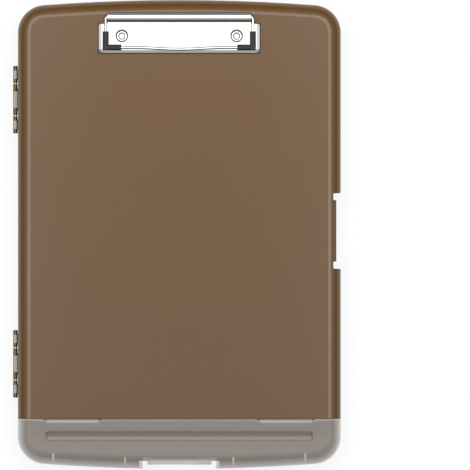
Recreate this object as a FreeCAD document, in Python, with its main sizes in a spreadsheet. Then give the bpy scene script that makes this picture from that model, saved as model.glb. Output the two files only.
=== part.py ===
import FreeCAD, Part
import math
import os
import re

import Sketcher

# Storage clipboard box: a shallow tray, a front cover hinged along its left side that carries a
# spring clip, and a translucent lid over a pen compartment at the foot.
# Frame: the box lies on its back. +Z points out of the writing face, +Y towards the clip,
# +X towards the finger notch. The origin is the middle of the case outline on its flat back.

# Driving sizes, in millimetres.
SIZES = {
    # Case outline, seen from the front.
    "case_width": 239.0,
    "case_length": 347.2,
    "end_bow_radius": 1324.0,
    "corner_radius": 20.6,
    # Case section, from the back upwards.
    "base_height": 15.4,
    "case_height": 28.0,
    "parting_gap": 0.3,
    "back_edge_radius": 4.5,
    "front_edge_radius": 9.5,
    "base_wall": 2.0,
    "base_floor": 2.2,
    "cover_wall": 2.2,
    "lid_wall": 1.8,
    # Pen lid, from the foot of the case to the middle of its seam with the cover.
    "lid_length": 37.25,
    "seam_gap": 0.2,
    # Rim on the tray that centres the cover.
    "rim_thickness": 0.75,
    "rim_height": 1.4,
    "rim_clearance": 0.2,
    # Partition between the sheet compartment and the pen compartment.
    "partition_thickness": 2.0,
    "partition_clearance": 1.3,
    "partition_top_gap": 0.25,
    # Main hinges on the left side.
    "knuckle_radius": 1.65,
    "knuckle_wall_gap": 0.3,
    "knuckle_end_gap": 0.5,
    "middle_knuckle_length": 23.4,
    "outer_knuckle_length": 12.8,
    "upper_hinge_setback": 73.8,
    "lower_hinge_setback": 77.8,
    "middle_web_setback": 3.7,
    "outer_web_setback": 2.7,
    "web_height": 4.6,
    "web_gap": 0.2,
    "hinge_pin_radius": 0.9,
    "hinge_pin_recess": 0.5,
    "pin_clearance": 0.05,
    # Finger notch on the right side, and its latch.
    "side_notch_place": 2.55,
    "side_notch_length": 55.9,
    "side_notch_depth": 5.6,
    "notch_corner_radius": 1.2,
    "latch_gap": 0.7,
    "catch_height": 1.6,
    "catch_depth": 0.5,
    "tongue_drop": 9.6,
    "side_tongue_length": 46.2,
    "side_tongue_place": 2.7,
    "side_lip_reach": 2.4,
    "lip_thickness": 2.2,
    "lip_taper": 0.6,
    "catch_margin": 5.0,
    # Finger notch at the foot of the pen lid, and its latch.
    "foot_notch_width": 54.8,
    "foot_notch_depth": 5.8,
    "foot_tongue_width": 48.0,
    "foot_lip_reach": 2.8,
    # Pen lid hinge: two barrels in the front corner of the lid at the seam.
    "barrel_radius": 2.0,
    "barrel_length": 38.4,
    "barrel_setback": 40.7,
    "lid_pin_radius": 0.6,
    "post_thickness": 1.8,
    "post_radius": 1.15,
    "post_round_share": 0.9,
    "post_gap": 0.25,
    # Pen lid surface.
    "channel_margin": 20.7,
    "channel_width": 7.6,
    "channel_depth": 2.4,
    "channel_setback": 12.75,
    "lid_rib_thickness": 1.0,
    "lid_rib_length": 6.0,
    "lid_rib_height": 3.0,
    "lid_rib_drop": 4.7,
    "inner_rib_place": 40.0,
    "inner_rib_gap": 3.0,
    "outer_rib_setback": 26.3,
    "outer_rib_gap": 5.9,
    "channel_corner_radius": 2.5,
    "channel_floor_radius": 2.3,
    # Clip plate; its parts run back from its front edge, which is set back from the head of the case.
    "plate_width": 119.9,
    "clip_setback": 39.2,
    "plate_length": 21.3,
    "plate_sheet": 0.8,
    "plate_rise": 2.0,
    "flange_run": 1.9,
    "plate_corner_radius": 4.0,
    "wing_cut_width": 3.5,
    "wing_cut_length": 1.0,
    "curl_margin": 6.75,
    "curl_radius": 3.2,
    "curl_run": 26.25,
    "curl_gap": 0.8,
    # Rivets that hold the clip plate, and their washers.
    "rivet_margin": 17.55,
    "rivet_run": 12.2,
    "rivet_head_radius": 4.4,
    "rivet_head_height": 1.0,
    "rivet_shank_radius": 2.4,
    "rivet_dish_radius": 2.3,
    "rivet_dish_depth": 0.7,
    "rivet_dish_slope": 0.3,
    "rivet_bore_radius": 1.7,
    "rivet_edge_radius": 0.4,
    "rivet_floor": 0.9,
    "rivet_hole_clearance": 0.1,
    "boss_radius": 6.2,
    "washer_radius": 5.0,
    "washer_thickness": 0.8,
    "clinch_radius": 3.7,
    "clinch_height": 0.9,
    # Wire bail and its corner sleeves.
    "wire_radius": 1.05,
    "bail_margin": 5.55,
    "bail_run": 4.25,
    "bail_bend_radius": 2.0,
    "bow_depth": 1.0,
    "bow_half_length": 20.0,
    "bow_bend_radius": 150.0,
    "crank_offset": 1.25,
    "crank_margin": 10.45,
    "crank_run": 3.0,
    "crank_length": 10.0,
    "crank_bend_radius": 2.5,
    "sleeve_radius": 2.2,
    "sleeve_side_arm": 13.8,
    "sleeve_front_arm": 13.7,
    "sleeve_clearance": 0.03,
    # How far a cut runs past the faces it opens.
    "cut_overrun": 1.0,
}

SHEET = "Sizes"
PAD = "PartDesign::Pad"
POCKET = "PartDesign::Pocket"

# Which way each origin plane's sketch faces along its axis.
PLANE_SENSE = {"XY_Plane": 1, "XZ_Plane": -1, "YZ_Plane": 1}

# Lengths closer together than this are taken as equal.
SAME_LENGTH = 1e-3

# Numbers of a sketch's horizontal axis and origin, of its vertical axis, and of a curve's two ends and centre.
H_AXIS, V_AXIS = range(-1, -3, -1)
START, END, CENTRE = range(1, 4)


def fill_sheet(doc):
    """Put the driving sizes into the sheet, one alias per cell."""
    sheet = doc.addObject("Spreadsheet::Sheet", SHEET)
    for row, (alias, value) in enumerate(SIZES.items(), start=1):
        sheet.set(f"A{row}", alias)
        sheet.set(f"B{row}", str(value))
        sheet.setAlias(f"B{row}", alias)
    doc.recompute()
    return sheet


def bound(text):
    """Point each size name in an expression at the sheet."""
    return re.sub(r"[a-z]+(?:_[a-z]+)+", lambda name: f"{SHEET}.{name.group(0)}", text)


def worth(owner, text):
    """Value of an expression, in millimetres."""
    value = owner.evalExpression(bound(text))
    return float(getattr(value, "Value", value))


def new_body(doc, label):
    """Empty body whose label is the name of the sub-part."""
    body = doc.addObject("PartDesign::Body", label)
    body.Label = label
    return body


def new_sketch(body, name, role, level="0"):
    """Sketch on one of the body's origin planes, moved along that plane's axis to a level."""
    sketch = body.newObject("Sketcher::SketchObject", name)
    plane = next(item for item in body.Origin.OriginFeatures if item.Role == role)
    sketch.AttachmentSupport = [(plane, "")]
    sketch.MapMode = "FlatFace"
    if level != "0":
        sign = "" if PLANE_SENSE[role] > 0 else "-"
        sketch.setExpression("AttachmentOffset.Base.z", f"{sign}({bound(level)})")
    return sketch


def near(value, target):
    """Whether two lengths are equal."""
    return abs(value - target) < SAME_LENGTH


def fix_point(sketch, geometry, end, place):
    """Tie one point of a sketch to a place given by two expressions."""
    for kind, axis, text in (("DistanceX", V_AXIS, place[0]), ("DistanceY", H_AXIS, place[1])):
        value = worth(sketch, text)
        if near(value, 0):
            sketch.addConstraint(Sketcher.Constraint("PointOnObject", geometry, end, axis))
        elif value > 0:
            index = sketch.addConstraint(Sketcher.Constraint(kind, H_AXIS, START, geometry, end, value))
            sketch.setExpression(f"Constraints[{index}]", bound(text))
        else:
            index = sketch.addConstraint(Sketcher.Constraint(kind, geometry, end, H_AXIS, START, -value))
            sketch.setExpression(f"Constraints[{index}]", f"-({bound(text)})")


def fix_radius(sketch, geometry, text):
    """Tie a circle's or an arc's radius to an expression."""
    index = sketch.addConstraint(Sketcher.Constraint("Radius", geometry, worth(sketch, text)))
    sketch.setExpression(f"Constraints[{index}]", bound(text))


def tie(sketch, kind, *places):
    """Add a constraint with no size, such as a coincidence or a tangency."""
    sketch.addConstraint(Sketcher.Constraint(kind, *places))


def draw_circle(sketch, place, radius):
    """Circle about a place given by two expressions."""
    centre = FreeCAD.Vector(worth(sketch, place[0]), worth(sketch, place[1]), 0)
    circle = sketch.addGeometry(Part.Circle(centre, FreeCAD.Vector(0, 0, 1), worth(sketch, radius)), False)
    fix_point(sketch, circle, CENTRE, place)
    fix_radius(sketch, circle, radius)


def add_arc(sketch, centre, radius, first, last):
    """Arc that runs anticlockwise from one point to another about a centre."""
    circle = Part.Circle(centre, FreeCAD.Vector(0, 0, 1), radius)
    start = math.atan2(first.y - centre.y, first.x - centre.x)
    end = math.atan2(last.y - centre.y, last.x - centre.x)
    if end <= start:
        end += 2 * math.pi
    return sketch.addGeometry(Part.ArcOfCircle(circle, start, end), False)


def draw_path(sketch, corners, closed=True):
    """Straight runs through corners given by expressions; a third expression rounds its corner.

    A rounded corner keeps a construction point, so that its place stays tied to the sizes.
    """
    count = len(corners)
    places = [FreeCAD.Vector(worth(sketch, item[0]), worth(sketch, item[1]), 0) for item in corners]
    arrivals = list(places)
    departures = list(places)
    centres = {}
    for index, (_, _, *bend) in enumerate(corners):
        if bend:
            radius = worth(sketch, bend[0])
            back = (places[index - 1] - places[index]).normalize()
            ahead = (places[(index + 1) % count] - places[index]).normalize()
            half_angle = back.getAngle(ahead) / 2
            reach = radius / math.tan(half_angle)
            arrivals[index] = places[index] + back * reach
            departures[index] = places[index] + ahead * reach
            middle = (back + ahead).normalize()
            left_turn = back.cross(ahead).z < 0
            centres[index] = (places[index] + middle * (radius / math.sin(half_angle)), radius, left_turn)
    run_count = count if closed else count - 1
    runs = []
    for index in range(run_count):
        line = Part.LineSegment(departures[index], arrivals[(index + 1) % count])
        runs.append(sketch.addGeometry(line, False))
    inner = range(count) if closed else range(1, count - 1)
    for index in inner:
        before = runs[index - 1]
        after = runs[index]
        if index not in centres:
            tie(sketch, "Coincident", before, END, after, START)
            fix_point(sketch, after, START, corners[index])
            continue
        centre, radius, left_turn = centres[index]
        if left_turn:
            arc = add_arc(sketch, centre, radius, arrivals[index], departures[index])
            tie(sketch, "Tangent", before, END, arc, START)
            tie(sketch, "Tangent", arc, END, after, START)
        else:
            arc = add_arc(sketch, centre, radius, departures[index], arrivals[index])
            tie(sketch, "Tangent", before, END, arc, END)
            tie(sketch, "Tangent", arc, START, after, START)
        corner_point = sketch.addGeometry(Part.Point(places[index]), True)
        fix_point(sketch, corner_point, START, corners[index])
        tie(sketch, "PointOnObject", corner_point, START, before)
        tie(sketch, "PointOnObject", corner_point, START, after)
        fix_radius(sketch, arc, corners[index][2])
    if not closed:
        fix_point(sketch, runs[0], START, corners[0])
        fix_point(sketch, runs[-1], END, corners[-1])


def draw_box(sketch, low, high):
    """Rectangle between two corners given by expressions."""
    draw_path(sketch, [low, (high[0], low[1]), high, (low[0], high[1])])


def draw_outline(sketch, inset="0"):
    """Case outline set in by an expression: straight sides, bowed ends and four round corners."""
    half_width = f"case_width / 2 - ({inset})"
    bow_radius = f"end_bow_radius - ({inset})"
    round_radius = f"corner_radius - ({inset})"
    centre_drop = "end_bow_radius - case_length / 2"
    half = worth(sketch, half_width)
    bow = worth(sketch, bow_radius)
    small = worth(sketch, round_radius)
    drop = worth(sketch, centre_drop)
    across = half - small
    along = math.sqrt((bow - small) ** 2 - across ** 2) - drop
    lean = math.atan2(along + drop, across)
    up = FreeCAD.Vector(0, 0, 1)
    turn = math.pi

    def arc(x, y, radius, start, end):
        """Arc of the outline between two angles."""
        circle = Part.Circle(FreeCAD.Vector(x, y, 0), up, radius)
        return sketch.addGeometry(Part.ArcOfCircle(circle, start, end), False)

    def side(x, start, end):
        """Straight side of the outline."""
        line = Part.LineSegment(FreeCAD.Vector(x, start, 0), FreeCAD.Vector(x, end, 0))
        return sketch.addGeometry(line, False)

    right = side(half, -along, along)
    top_right = arc(across, along, small, 0, lean)
    top = arc(0, -drop, bow, lean, turn - lean)
    top_left = arc(-across, along, small, turn - lean, turn)
    left = side(-half, along, -along)
    foot_left = arc(-across, -along, small, turn, turn + lean)
    foot = arc(0, drop, bow, turn + lean, 2 * turn - lean)
    foot_right = arc(across, -along, small, 2 * turn - lean, 2 * turn)
    loop = [right, top_right, top, top_left, left, foot_left, foot, foot_right]
    for index, piece in enumerate(loop):
        tie(sketch, "Tangent", piece, END, loop[(index + 1) % len(loop)], START)
    tie(sketch, "Vertical", right)
    tie(sketch, "Vertical", left)
    tie(sketch, "PointOnObject", top, CENTRE, V_AXIS)
    tie(sketch, "PointOnObject", foot, CENTRE, V_AXIS)
    for piece in (top_right, top_left, foot_left, foot_right):
        fix_radius(sketch, piece, round_radius)
    fix_radius(sketch, top, bow_radius)
    fix_radius(sketch, foot, bow_radius)
    spans = (
        ("DistanceY", (top, CENTRE, H_AXIS, START), centre_drop),
        ("DistanceY", (H_AXIS, START, foot, CENTRE), centre_drop),
        ("DistanceX", (H_AXIS, START, right, START), half_width),
        ("DistanceX", (left, START, H_AXIS, START), half_width),
    )
    for kind, ends, text in spans:
        index = sketch.addConstraint(Sketcher.Constraint(kind, *ends, worth(sketch, text)))
        sketch.setExpression(f"Constraints[{index}]", bound(text))


def path(corners):
    """Drawing of a closed path through corners, for an extrusion."""
    return lambda sketch: draw_path(sketch, corners)


def box(low, high):
    """Drawing of a rectangle between two corners, for an extrusion."""
    return lambda sketch: draw_box(sketch, low, high)


def circle(place, radius):
    """Drawing of a circle about a place, for an extrusion."""
    return lambda sketch: draw_circle(sketch, place, radius)


def extrude(body, kind, name, role, low, high, draw):
    """Pad or pocket between two levels of the axis that is square to an origin plane."""
    adds = kind == PAD
    rises = (PLANE_SENSE[role] > 0) == adds
    sketch = new_sketch(body, f"{name}_sketch", role, low if rises else high)
    draw(sketch)
    feature = body.newObject(kind, name)
    feature.Profile = sketch
    feature.setExpression("Length", bound(f"({high}) - ({low})"))
    return feature


def dress(body, kind, name, size, chosen):
    """Fillet or chamfer the edges of the body so far that a test picks out."""
    body.Document.recompute()
    base = body.Tip
    edges = [f"Edge{index}" for index, edge in enumerate(base.Shape.Edges, start=1) if chosen(edge)]
    if not edges:
        raise RuntimeError(f"{body.Label}: no edge for {name}")
    feature = body.newObject(kind, name)
    feature.Base = (base, edges)
    feature.setExpression("Radius" if kind == "PartDesign::Fillet" else "Size", bound(size))
    body.Document.recompute()
    return feature


def flat_at(edge, level):
    """Whether an edge lies wholly at one height."""
    bounds = edge.BoundBox
    return near(bounds.ZMin, level) and near(bounds.ZMax, level)


def level_edges(level):
    """Test that picks out the edges at one height."""
    return lambda edge: flat_at(edge, level)


# Levels and places that several pieces share, as expressions over the sizes.
FRONT = "case_height"
PARTING = "base_height + parting_gap"
HALF_WIDTH = "case_width / 2"
HALF_LENGTH = "case_length / 2"
COVER_END = "-(case_length / 2 - lid_length - seam_gap / 2)"
LID_END = "-(case_length / 2 - lid_length + seam_gap / 2)"
HINGE_X = "-(case_width / 2 + knuckle_wall_gap + knuckle_radius)"
LID_AXIS_Y = "-(case_length / 2 - lid_length + seam_gap / 2 + barrel_radius)"
LID_AXIS_Z = "case_height - barrel_radius"
PARTITION_TOP = "case_height - 2 * barrel_radius - partition_top_gap"
SIDE_NOTCH_LOW = "side_notch_place - side_notch_length / 2"
SIDE_NOTCH_HIGH = "side_notch_place + side_notch_length / 2"
SIDE_NOTCH_FLOOR = "case_width / 2 - side_notch_depth"
SIDE_BASE_FACE = "case_width / 2 - side_notch_depth - cover_wall - latch_gap"
FOOT_NOTCH_FLOOR = "-(case_length / 2 - foot_notch_depth)"
FOOT_BASE_FACE = "-(case_length / 2 - foot_notch_depth - lid_wall - latch_gap)"
TONGUE_FOOT = "base_height - tongue_drop"
CATCH_LEVEL = "base_height - tongue_drop + lip_thickness + catch_height"
PLATE_TOP = "case_height + plate_rise"
CURL_LEVEL = "case_height + plate_rise - plate_sheet + curl_radius"
BARREL_PLACE = "(case_width / 2 - barrel_setback)"
CHANNEL_PLACE = "-(case_length / 2 - lid_length + channel_setback)"
CURL_HALF = "(plate_width / 2 - curl_margin)"
RIVET_SIDE = "(plate_width / 2 - rivet_margin)"
BAIL_SIDE = "(plate_width / 2 - bail_margin)"
CRANK_START = "(plate_width / 2 - crank_margin)"
PLATE_FRONT = "(case_length / 2 - clip_setback)"
PLATE_BACK = "(case_length / 2 - clip_setback + plate_length)"
CURL_PLACE = "(case_length / 2 - clip_setback + curl_run)"
RIVET_PLACE = "(case_length / 2 - clip_setback + rivet_run)"
BAIL_PLACE = "(case_length / 2 - clip_setback + bail_run)"
HINGES = {
    "upper": "(case_length / 2 - upper_hinge_setback)",
    "lower": "-(case_length / 2 - lower_hinge_setback)",
}
SIDES = {"left": -1, "right": 1}


def add_knuckle(body, name, low, high, setback, web):
    """Hinge knuckle between two places along the side, with the web that joins it to its shell."""

    def barrel(sketch):
        """Round section of the knuckle."""
        draw_circle(sketch, (HINGE_X, "base_height"), "knuckle_radius")

    extrude(body, PAD, f"{name}_barrel", "XZ_Plane", low, high, barrel)
    inner = f"({low}) + {setback}"
    outer = f"({high}) - {setback}"
    extrude(body, PAD, f"{name}_web", "XZ_Plane", inner, outer, path(web))


def bore_knuckles(body, hinge, low, high):
    """Bore for a hinge pin through the knuckles between two places."""

    def bore(sketch):
        """Round section of the bore."""
        draw_circle(sketch, (HINGE_X, "base_height"), "hinge_pin_radius + pin_clearance")

    extrude(body, POCKET, f"{hinge}_hinge_bore", "XZ_Plane", low, high, bore)


def cut_side_notch(body, floor, low, high):
    """Finger notch in the right side, with rounded corners, cut through from one height to another."""
    edge = HALF_WIDTH
    outside = f"{HALF_WIDTH} + cut_overrun"
    below = f"{SIDE_NOTCH_LOW} - 2 * notch_corner_radius"
    above = f"{SIDE_NOTCH_HIGH} + 2 * notch_corner_radius"
    corners = [
        (floor, SIDE_NOTCH_LOW, "notch_corner_radius"),
        (edge, SIDE_NOTCH_LOW, "notch_corner_radius"),
        (edge, below),
        (outside, below),
        (outside, above),
        (edge, above),
        (edge, SIDE_NOTCH_HIGH, "notch_corner_radius"),
        (floor, SIDE_NOTCH_HIGH, "notch_corner_radius"),
    ]
    extrude(body, POCKET, "side_notch", "XY_Plane", low, high, path(corners))


def cut_foot_notch(body, floor, low, high):
    """Finger notch in the foot, cut through from one height to another."""
    outside = f"-({HALF_LENGTH} + cut_overrun)"
    side = "foot_notch_width / 2"
    corners = [
        (f"-({side})", outside),
        (side, outside),
        (side, floor, "notch_corner_radius"),
        (f"-({side})", floor, "notch_corner_radius"),
    ]
    extrude(body, POCKET, "foot_notch", "XY_Plane", low, high, path(corners))


def make_base_shell(doc):
    """Tray: floor and walls, partition, pin posts, hinge knuckles and latch catches."""
    body = new_body(doc, "base_shell")
    extrude(body, PAD, "tray", "XY_Plane", "0", "base_height", draw_outline)
    dress(body, "PartDesign::Fillet", "back_edge", "back_edge_radius", level_edges(0))
    floor_level = worth(body, "base_floor")
    above_tray = "base_height + cut_overrun"

    def hollow(sketch):
        """Outline of the hollow."""
        draw_outline(sketch, "base_wall")

    extrude(body, POCKET, "hollow", "XY_Plane", "base_floor", above_tray, hollow)
    inner_radius = "back_edge_radius - base_wall"
    dress(body, "PartDesign::Fillet", "hollow_edge", inner_radius, level_edges(floor_level))

    def rim(sketch):
        """Ring on the inner half of the wall."""
        draw_outline(sketch, "base_wall - rim_thickness")
        draw_outline(sketch, "base_wall")

    rim_foot = "base_height - base_floor"
    rim_top = "base_height + rim_height"
    extrude(body, PAD, "rim", "XY_Plane", rim_foot, rim_top, rim)
    rim_end = f"{COVER_END} + cover_wall + rim_clearance"

    def rim_cut(sketch):
        """Everything on the pen compartment's side of the cover's end wall."""
        low = (f"-({HALF_WIDTH})", f"-({HALF_LENGTH})")
        draw_box(sketch, low, (HALF_WIDTH, rim_end))

    extrude(body, POCKET, "rim_cut", "XY_Plane", "base_height", f"{rim_top} + cut_overrun", rim_cut)

    middle = "base_floor / 2"
    bend = "back_edge_radius - base_wall / 2"
    wall_line = f"{HALF_WIDTH} - base_wall / 2"
    side_inner = f"{SIDE_BASE_FACE} - base_wall"
    side_wall = [
        (side_inner, middle),
        (wall_line, middle, bend),
        (wall_line, "base_height"),
        (side_inner, "base_height"),
    ]
    side_low = f"{SIDE_NOTCH_LOW} - base_wall"
    side_high = f"{SIDE_NOTCH_HIGH} + base_wall"
    draw = path(side_wall)
    extrude(body, PAD, "side_notch_wall", "XZ_Plane", side_low, side_high, draw)
    foot_line = f"-({HALF_LENGTH} - base_wall / 2)"
    foot_inner = f"{FOOT_BASE_FACE} + base_wall"
    foot_wall = [
        (foot_line, middle, bend),
        (foot_inner, middle),
        (foot_inner, "base_height"),
        (foot_line, "base_height"),
    ]
    foot_side = "foot_notch_width / 2 + base_wall"
    draw = path(foot_wall)
    extrude(body, PAD, "foot_notch_wall", "YZ_Plane", f"-({foot_side})", foot_side, draw)
    above_rim = f"{rim_top} + cut_overrun"
    cut_side_notch(body, SIDE_BASE_FACE, "-cut_overrun", above_rim)
    cut_foot_notch(body, FOOT_BASE_FACE, "-cut_overrun", above_rim)
    add_catches(body)
    add_partition(body)
    web = [
        (HINGE_X, "base_height - knuckle_radius"),
        (f"-({wall_line})", "base_height - web_height"),
        (f"-({wall_line})", "base_height - web_gap"),
        (HINGE_X, "base_height - web_gap"),
    ]
    inner_end = "middle_knuckle_length / 2 + knuckle_end_gap"
    outer_end = f"{inner_end} + outer_knuckle_length"
    for hinge, place in HINGES.items():
        spans = {
            "foot": (f"{place} - ({outer_end})", f"{place} - ({inner_end})"),
            "head": (f"{place} + {inner_end}", f"{place} + {outer_end}"),
        }
        for end, (low, high) in spans.items():
            add_knuckle(body, f"{hinge}_{end}_knuckle", low, high, "outer_web_setback", web)
        bore_knuckles(body, hinge, spans["foot"][0], spans["head"][1])
    return body


def add_catches(body):
    """Catch ridges on the notch walls, which the latch tongues snap over."""
    low = f"{CATCH_LEVEL} - catch_height / 2"
    high = f"{CATCH_LEVEL} + catch_height / 2"
    tip = f"{SIDE_BASE_FACE} + catch_depth"
    root = f"{SIDE_BASE_FACE} - base_wall / 2"
    side_ridge = [(root, low), (SIDE_BASE_FACE, low), (tip, CATCH_LEVEL), (SIDE_BASE_FACE, high), (root, high)]
    half = "side_tongue_length / 2 - catch_margin"
    ends = (f"side_tongue_place - ({half})", f"side_tongue_place + {half}")
    extrude(body, PAD, "side_catch", "XZ_Plane", *ends, path(side_ridge))
    tip = f"{FOOT_BASE_FACE} - catch_depth"
    root = f"{FOOT_BASE_FACE} + base_wall / 2"
    foot_ridge = [(root, low), (FOOT_BASE_FACE, low), (tip, CATCH_LEVEL), (FOOT_BASE_FACE, high), (root, high)]
    half = "foot_tongue_width / 2 - catch_margin"
    extrude(body, PAD, "foot_catch", "YZ_Plane", f"-({half})", half, path(foot_ridge))


def post_spans():
    """Name and two ends, along X, of each post that carries a pen lid pin."""
    near_end = "barrel_length / 2 + post_gap"
    far_end = f"{near_end} + post_thickness"
    spans = []
    for side, sign in SIDES.items():
        for end, step in (("left", -1), ("right", 1)):
            centre = f"{sign} * {BARREL_PLACE}"
            ends = [f"{centre} + {step} * ({near_end})", f"{centre} + {step} * ({far_end})"]
            spans.append((f"{side}_{end}_post", *ends[::step]))
    return spans


def add_partition(body):
    """Partition between the compartments, with the posts that carry the pen lid's pins."""
    half = "partition_thickness / 2"
    wall_line = f"{HALF_WIDTH} - base_wall / 2"
    upper_line = f"{HALF_WIDTH} - lid_wall - partition_clearance"
    upper_bend = "front_edge_radius - lid_wall - partition_clearance"
    corners = [
        (f"-({wall_line})", "base_floor / 2", "back_edge_radius - base_wall / 2"),
        (wall_line, "base_floor / 2", "back_edge_radius - base_wall / 2"),
        (wall_line, "base_height"),
        (upper_line, "base_height"),
        (upper_line, PARTITION_TOP, upper_bend),
        (f"-({upper_line})", PARTITION_TOP, upper_bend),
        (f"-({upper_line})", "base_height"),
        (f"-({wall_line})", "base_height"),
    ]
    ends = (f"{LID_AXIS_Y} - {half}", f"{LID_AXIS_Y} + {half}")
    extrude(body, PAD, "partition", "XZ_Plane", *ends, path(corners))
    head = f"{LID_AXIS_Z} + post_radius"
    post_bend = "post_radius * post_round_share"
    foot = f"{PARTITION_TOP} - partition_thickness"
    post = [
        (f"{LID_AXIS_Y} - post_radius", foot),
        (f"{LID_AXIS_Y} + post_radius", foot),
        (f"{LID_AXIS_Y} + post_radius", head, post_bend),
        (f"{LID_AXIS_Y} - post_radius", head, post_bend),
    ]

    def bore(sketch):
        """Round section of the pin's bore."""
        draw_circle(sketch, (LID_AXIS_Y, LID_AXIS_Z), "lid_pin_radius + pin_clearance")

    for name, low, high in post_spans():
        extrude(body, PAD, name, "YZ_Plane", low, high, path(post))
        extrude(body, POCKET, f"{name}_bore", "YZ_Plane", low, high, bore)


def add_shell(body, wall, name):
    """Front shell over the whole outline: rounded front edge, side walls and a flat plate."""
    extrude(body, PAD, name, "XY_Plane", PARTING, FRONT, draw_outline)
    front_level = worth(body, FRONT)
    dress(body, "PartDesign::Fillet", "front_edge", "front_edge_radius", level_edges(front_level))
    base = body.Tip
    foot_level = worth(body, PARTING)
    open_faces = [
        f"Face{index}"
        for index, face in enumerate(base.Shape.Faces, start=1)
        if near(face.BoundBox.ZMax, foot_level)
    ]
    hollow = body.newObject("PartDesign::Thickness", "hollow")
    hollow.Base = (base, open_faces)
    hollow.Reversed = True
    hollow.setExpression("Value", bound(wall))


def make_front_cover(doc):
    """Cover over the sheet compartment: latch tongue, clip bosses and the middle hinge knuckles."""
    body = new_body(doc, "front_cover")
    add_shell(body, "cover_wall", "cover")
    middle = f"{FRONT} - cover_wall / 2"
    bend = "front_edge_radius - cover_wall / 2"
    wall_line = f"{HALF_WIDTH} - cover_wall / 2"
    end_wall = [
        (f"-({wall_line})", PARTING),
        (wall_line, PARTING),
        (wall_line, middle, bend),
        (f"-({wall_line})", middle, bend),
    ]
    ends = (COVER_END, f"{COVER_END} + cover_wall")
    extrude(body, PAD, "end_wall", "XZ_Plane", *ends, path(end_wall))
    notch_inner = f"{SIDE_NOTCH_FLOOR} - cover_wall"
    notch_wall = [
        (notch_inner, PARTING),
        (wall_line, PARTING),
        (wall_line, middle, bend),
        (notch_inner, middle),
    ]
    ends = (f"{SIDE_NOTCH_LOW} - cover_wall", f"{SIDE_NOTCH_HIGH} + cover_wall")
    extrude(body, PAD, "side_notch_wall", "XZ_Plane", *ends, path(notch_wall))

    def rebate(sketch):
        """Ring that clears the tray's rim."""
        draw_outline(sketch, "base_wall - rim_thickness - rim_clearance")
        draw_outline(sketch, "cover_wall + rim_clearance")

    rebate_top = "base_height + rim_height + rim_clearance"
    extrude(body, POCKET, "rim_rebate", "XY_Plane", f"{PARTING} - cut_overrun", rebate_top, rebate)
    above = f"{FRONT} + cut_overrun"
    cut_side_notch(body, SIDE_NOTCH_FLOOR, f"{PARTING} - cut_overrun", above)

    def foot_end(sketch):
        """Everything on the pen lid's side of the seam."""
        low = (f"-({HALF_WIDTH} + cut_overrun)", f"-({HALF_LENGTH} + cut_overrun)")
        draw_box(sketch, low, (f"{HALF_WIDTH} + cut_overrun", COVER_END))

    extrude(body, POCKET, "foot_end", "XY_Plane", f"{PARTING} - cut_overrun", above, foot_end)
    add_side_tongue(body, notch_inner)
    for side, sign in SIDES.items():
        place = (f"{sign} * {RIVET_SIDE}", RIVET_PLACE)
        boss_top = f"{PLATE_TOP} - plate_sheet"
        draw = circle(place, "boss_radius")
        extrude(body, PAD, f"{side}_boss", "XY_Plane", f"{FRONT} - cover_wall / 2", boss_top, draw)
        radius = "rivet_shank_radius + rivet_hole_clearance"
        draw = circle(place, radius)
        extrude(body, POCKET, f"{side}_rivet_hole", "XY_Plane", PARTING, f"{boss_top} + cut_overrun", draw)
    web = [
        (HINGE_X, "base_height + parting_gap"),
        (f"-({wall_line})", "base_height + parting_gap"),
        (f"-({wall_line})", "base_height + web_height"),
        (HINGE_X, "base_height + knuckle_radius"),
    ]
    half = "middle_knuckle_length / 2"
    for hinge, place in HINGES.items():
        span = (f"{place} - {half}", f"{place} + {half}")
        add_knuckle(body, f"{hinge}_knuckle", *span, "middle_web_setback", web)
        bore_knuckles(body, hinge, *span)
    return body


def add_side_tongue(body, inner):
    """Latch tongue of the cover, with the lip that a finger lifts."""
    low = "side_tongue_place - side_tongue_length / 2"
    high = "side_tongue_place + side_tongue_length / 2"
    draw = box((inner, low), (SIDE_NOTCH_FLOOR, high))
    extrude(body, PAD, "side_tongue", "XY_Plane", TONGUE_FOOT, f"{PARTING} + cut_overrun", draw)
    root = f"{SIDE_NOTCH_FLOOR} - cover_wall / 2"
    tip = f"{SIDE_NOTCH_FLOOR} + side_lip_reach"
    lip = [
        (root, low),
        (SIDE_NOTCH_FLOOR, low),
        (tip, f"{low} + lip_taper"),
        (tip, f"{high} - lip_taper"),
        (SIDE_NOTCH_FLOOR, high),
        (root, high),
    ]
    lip_top = f"{TONGUE_FOOT} + lip_thickness"
    extrude(body, PAD, "side_lip", "XY_Plane", TONGUE_FOOT, lip_top, path(lip))


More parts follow.
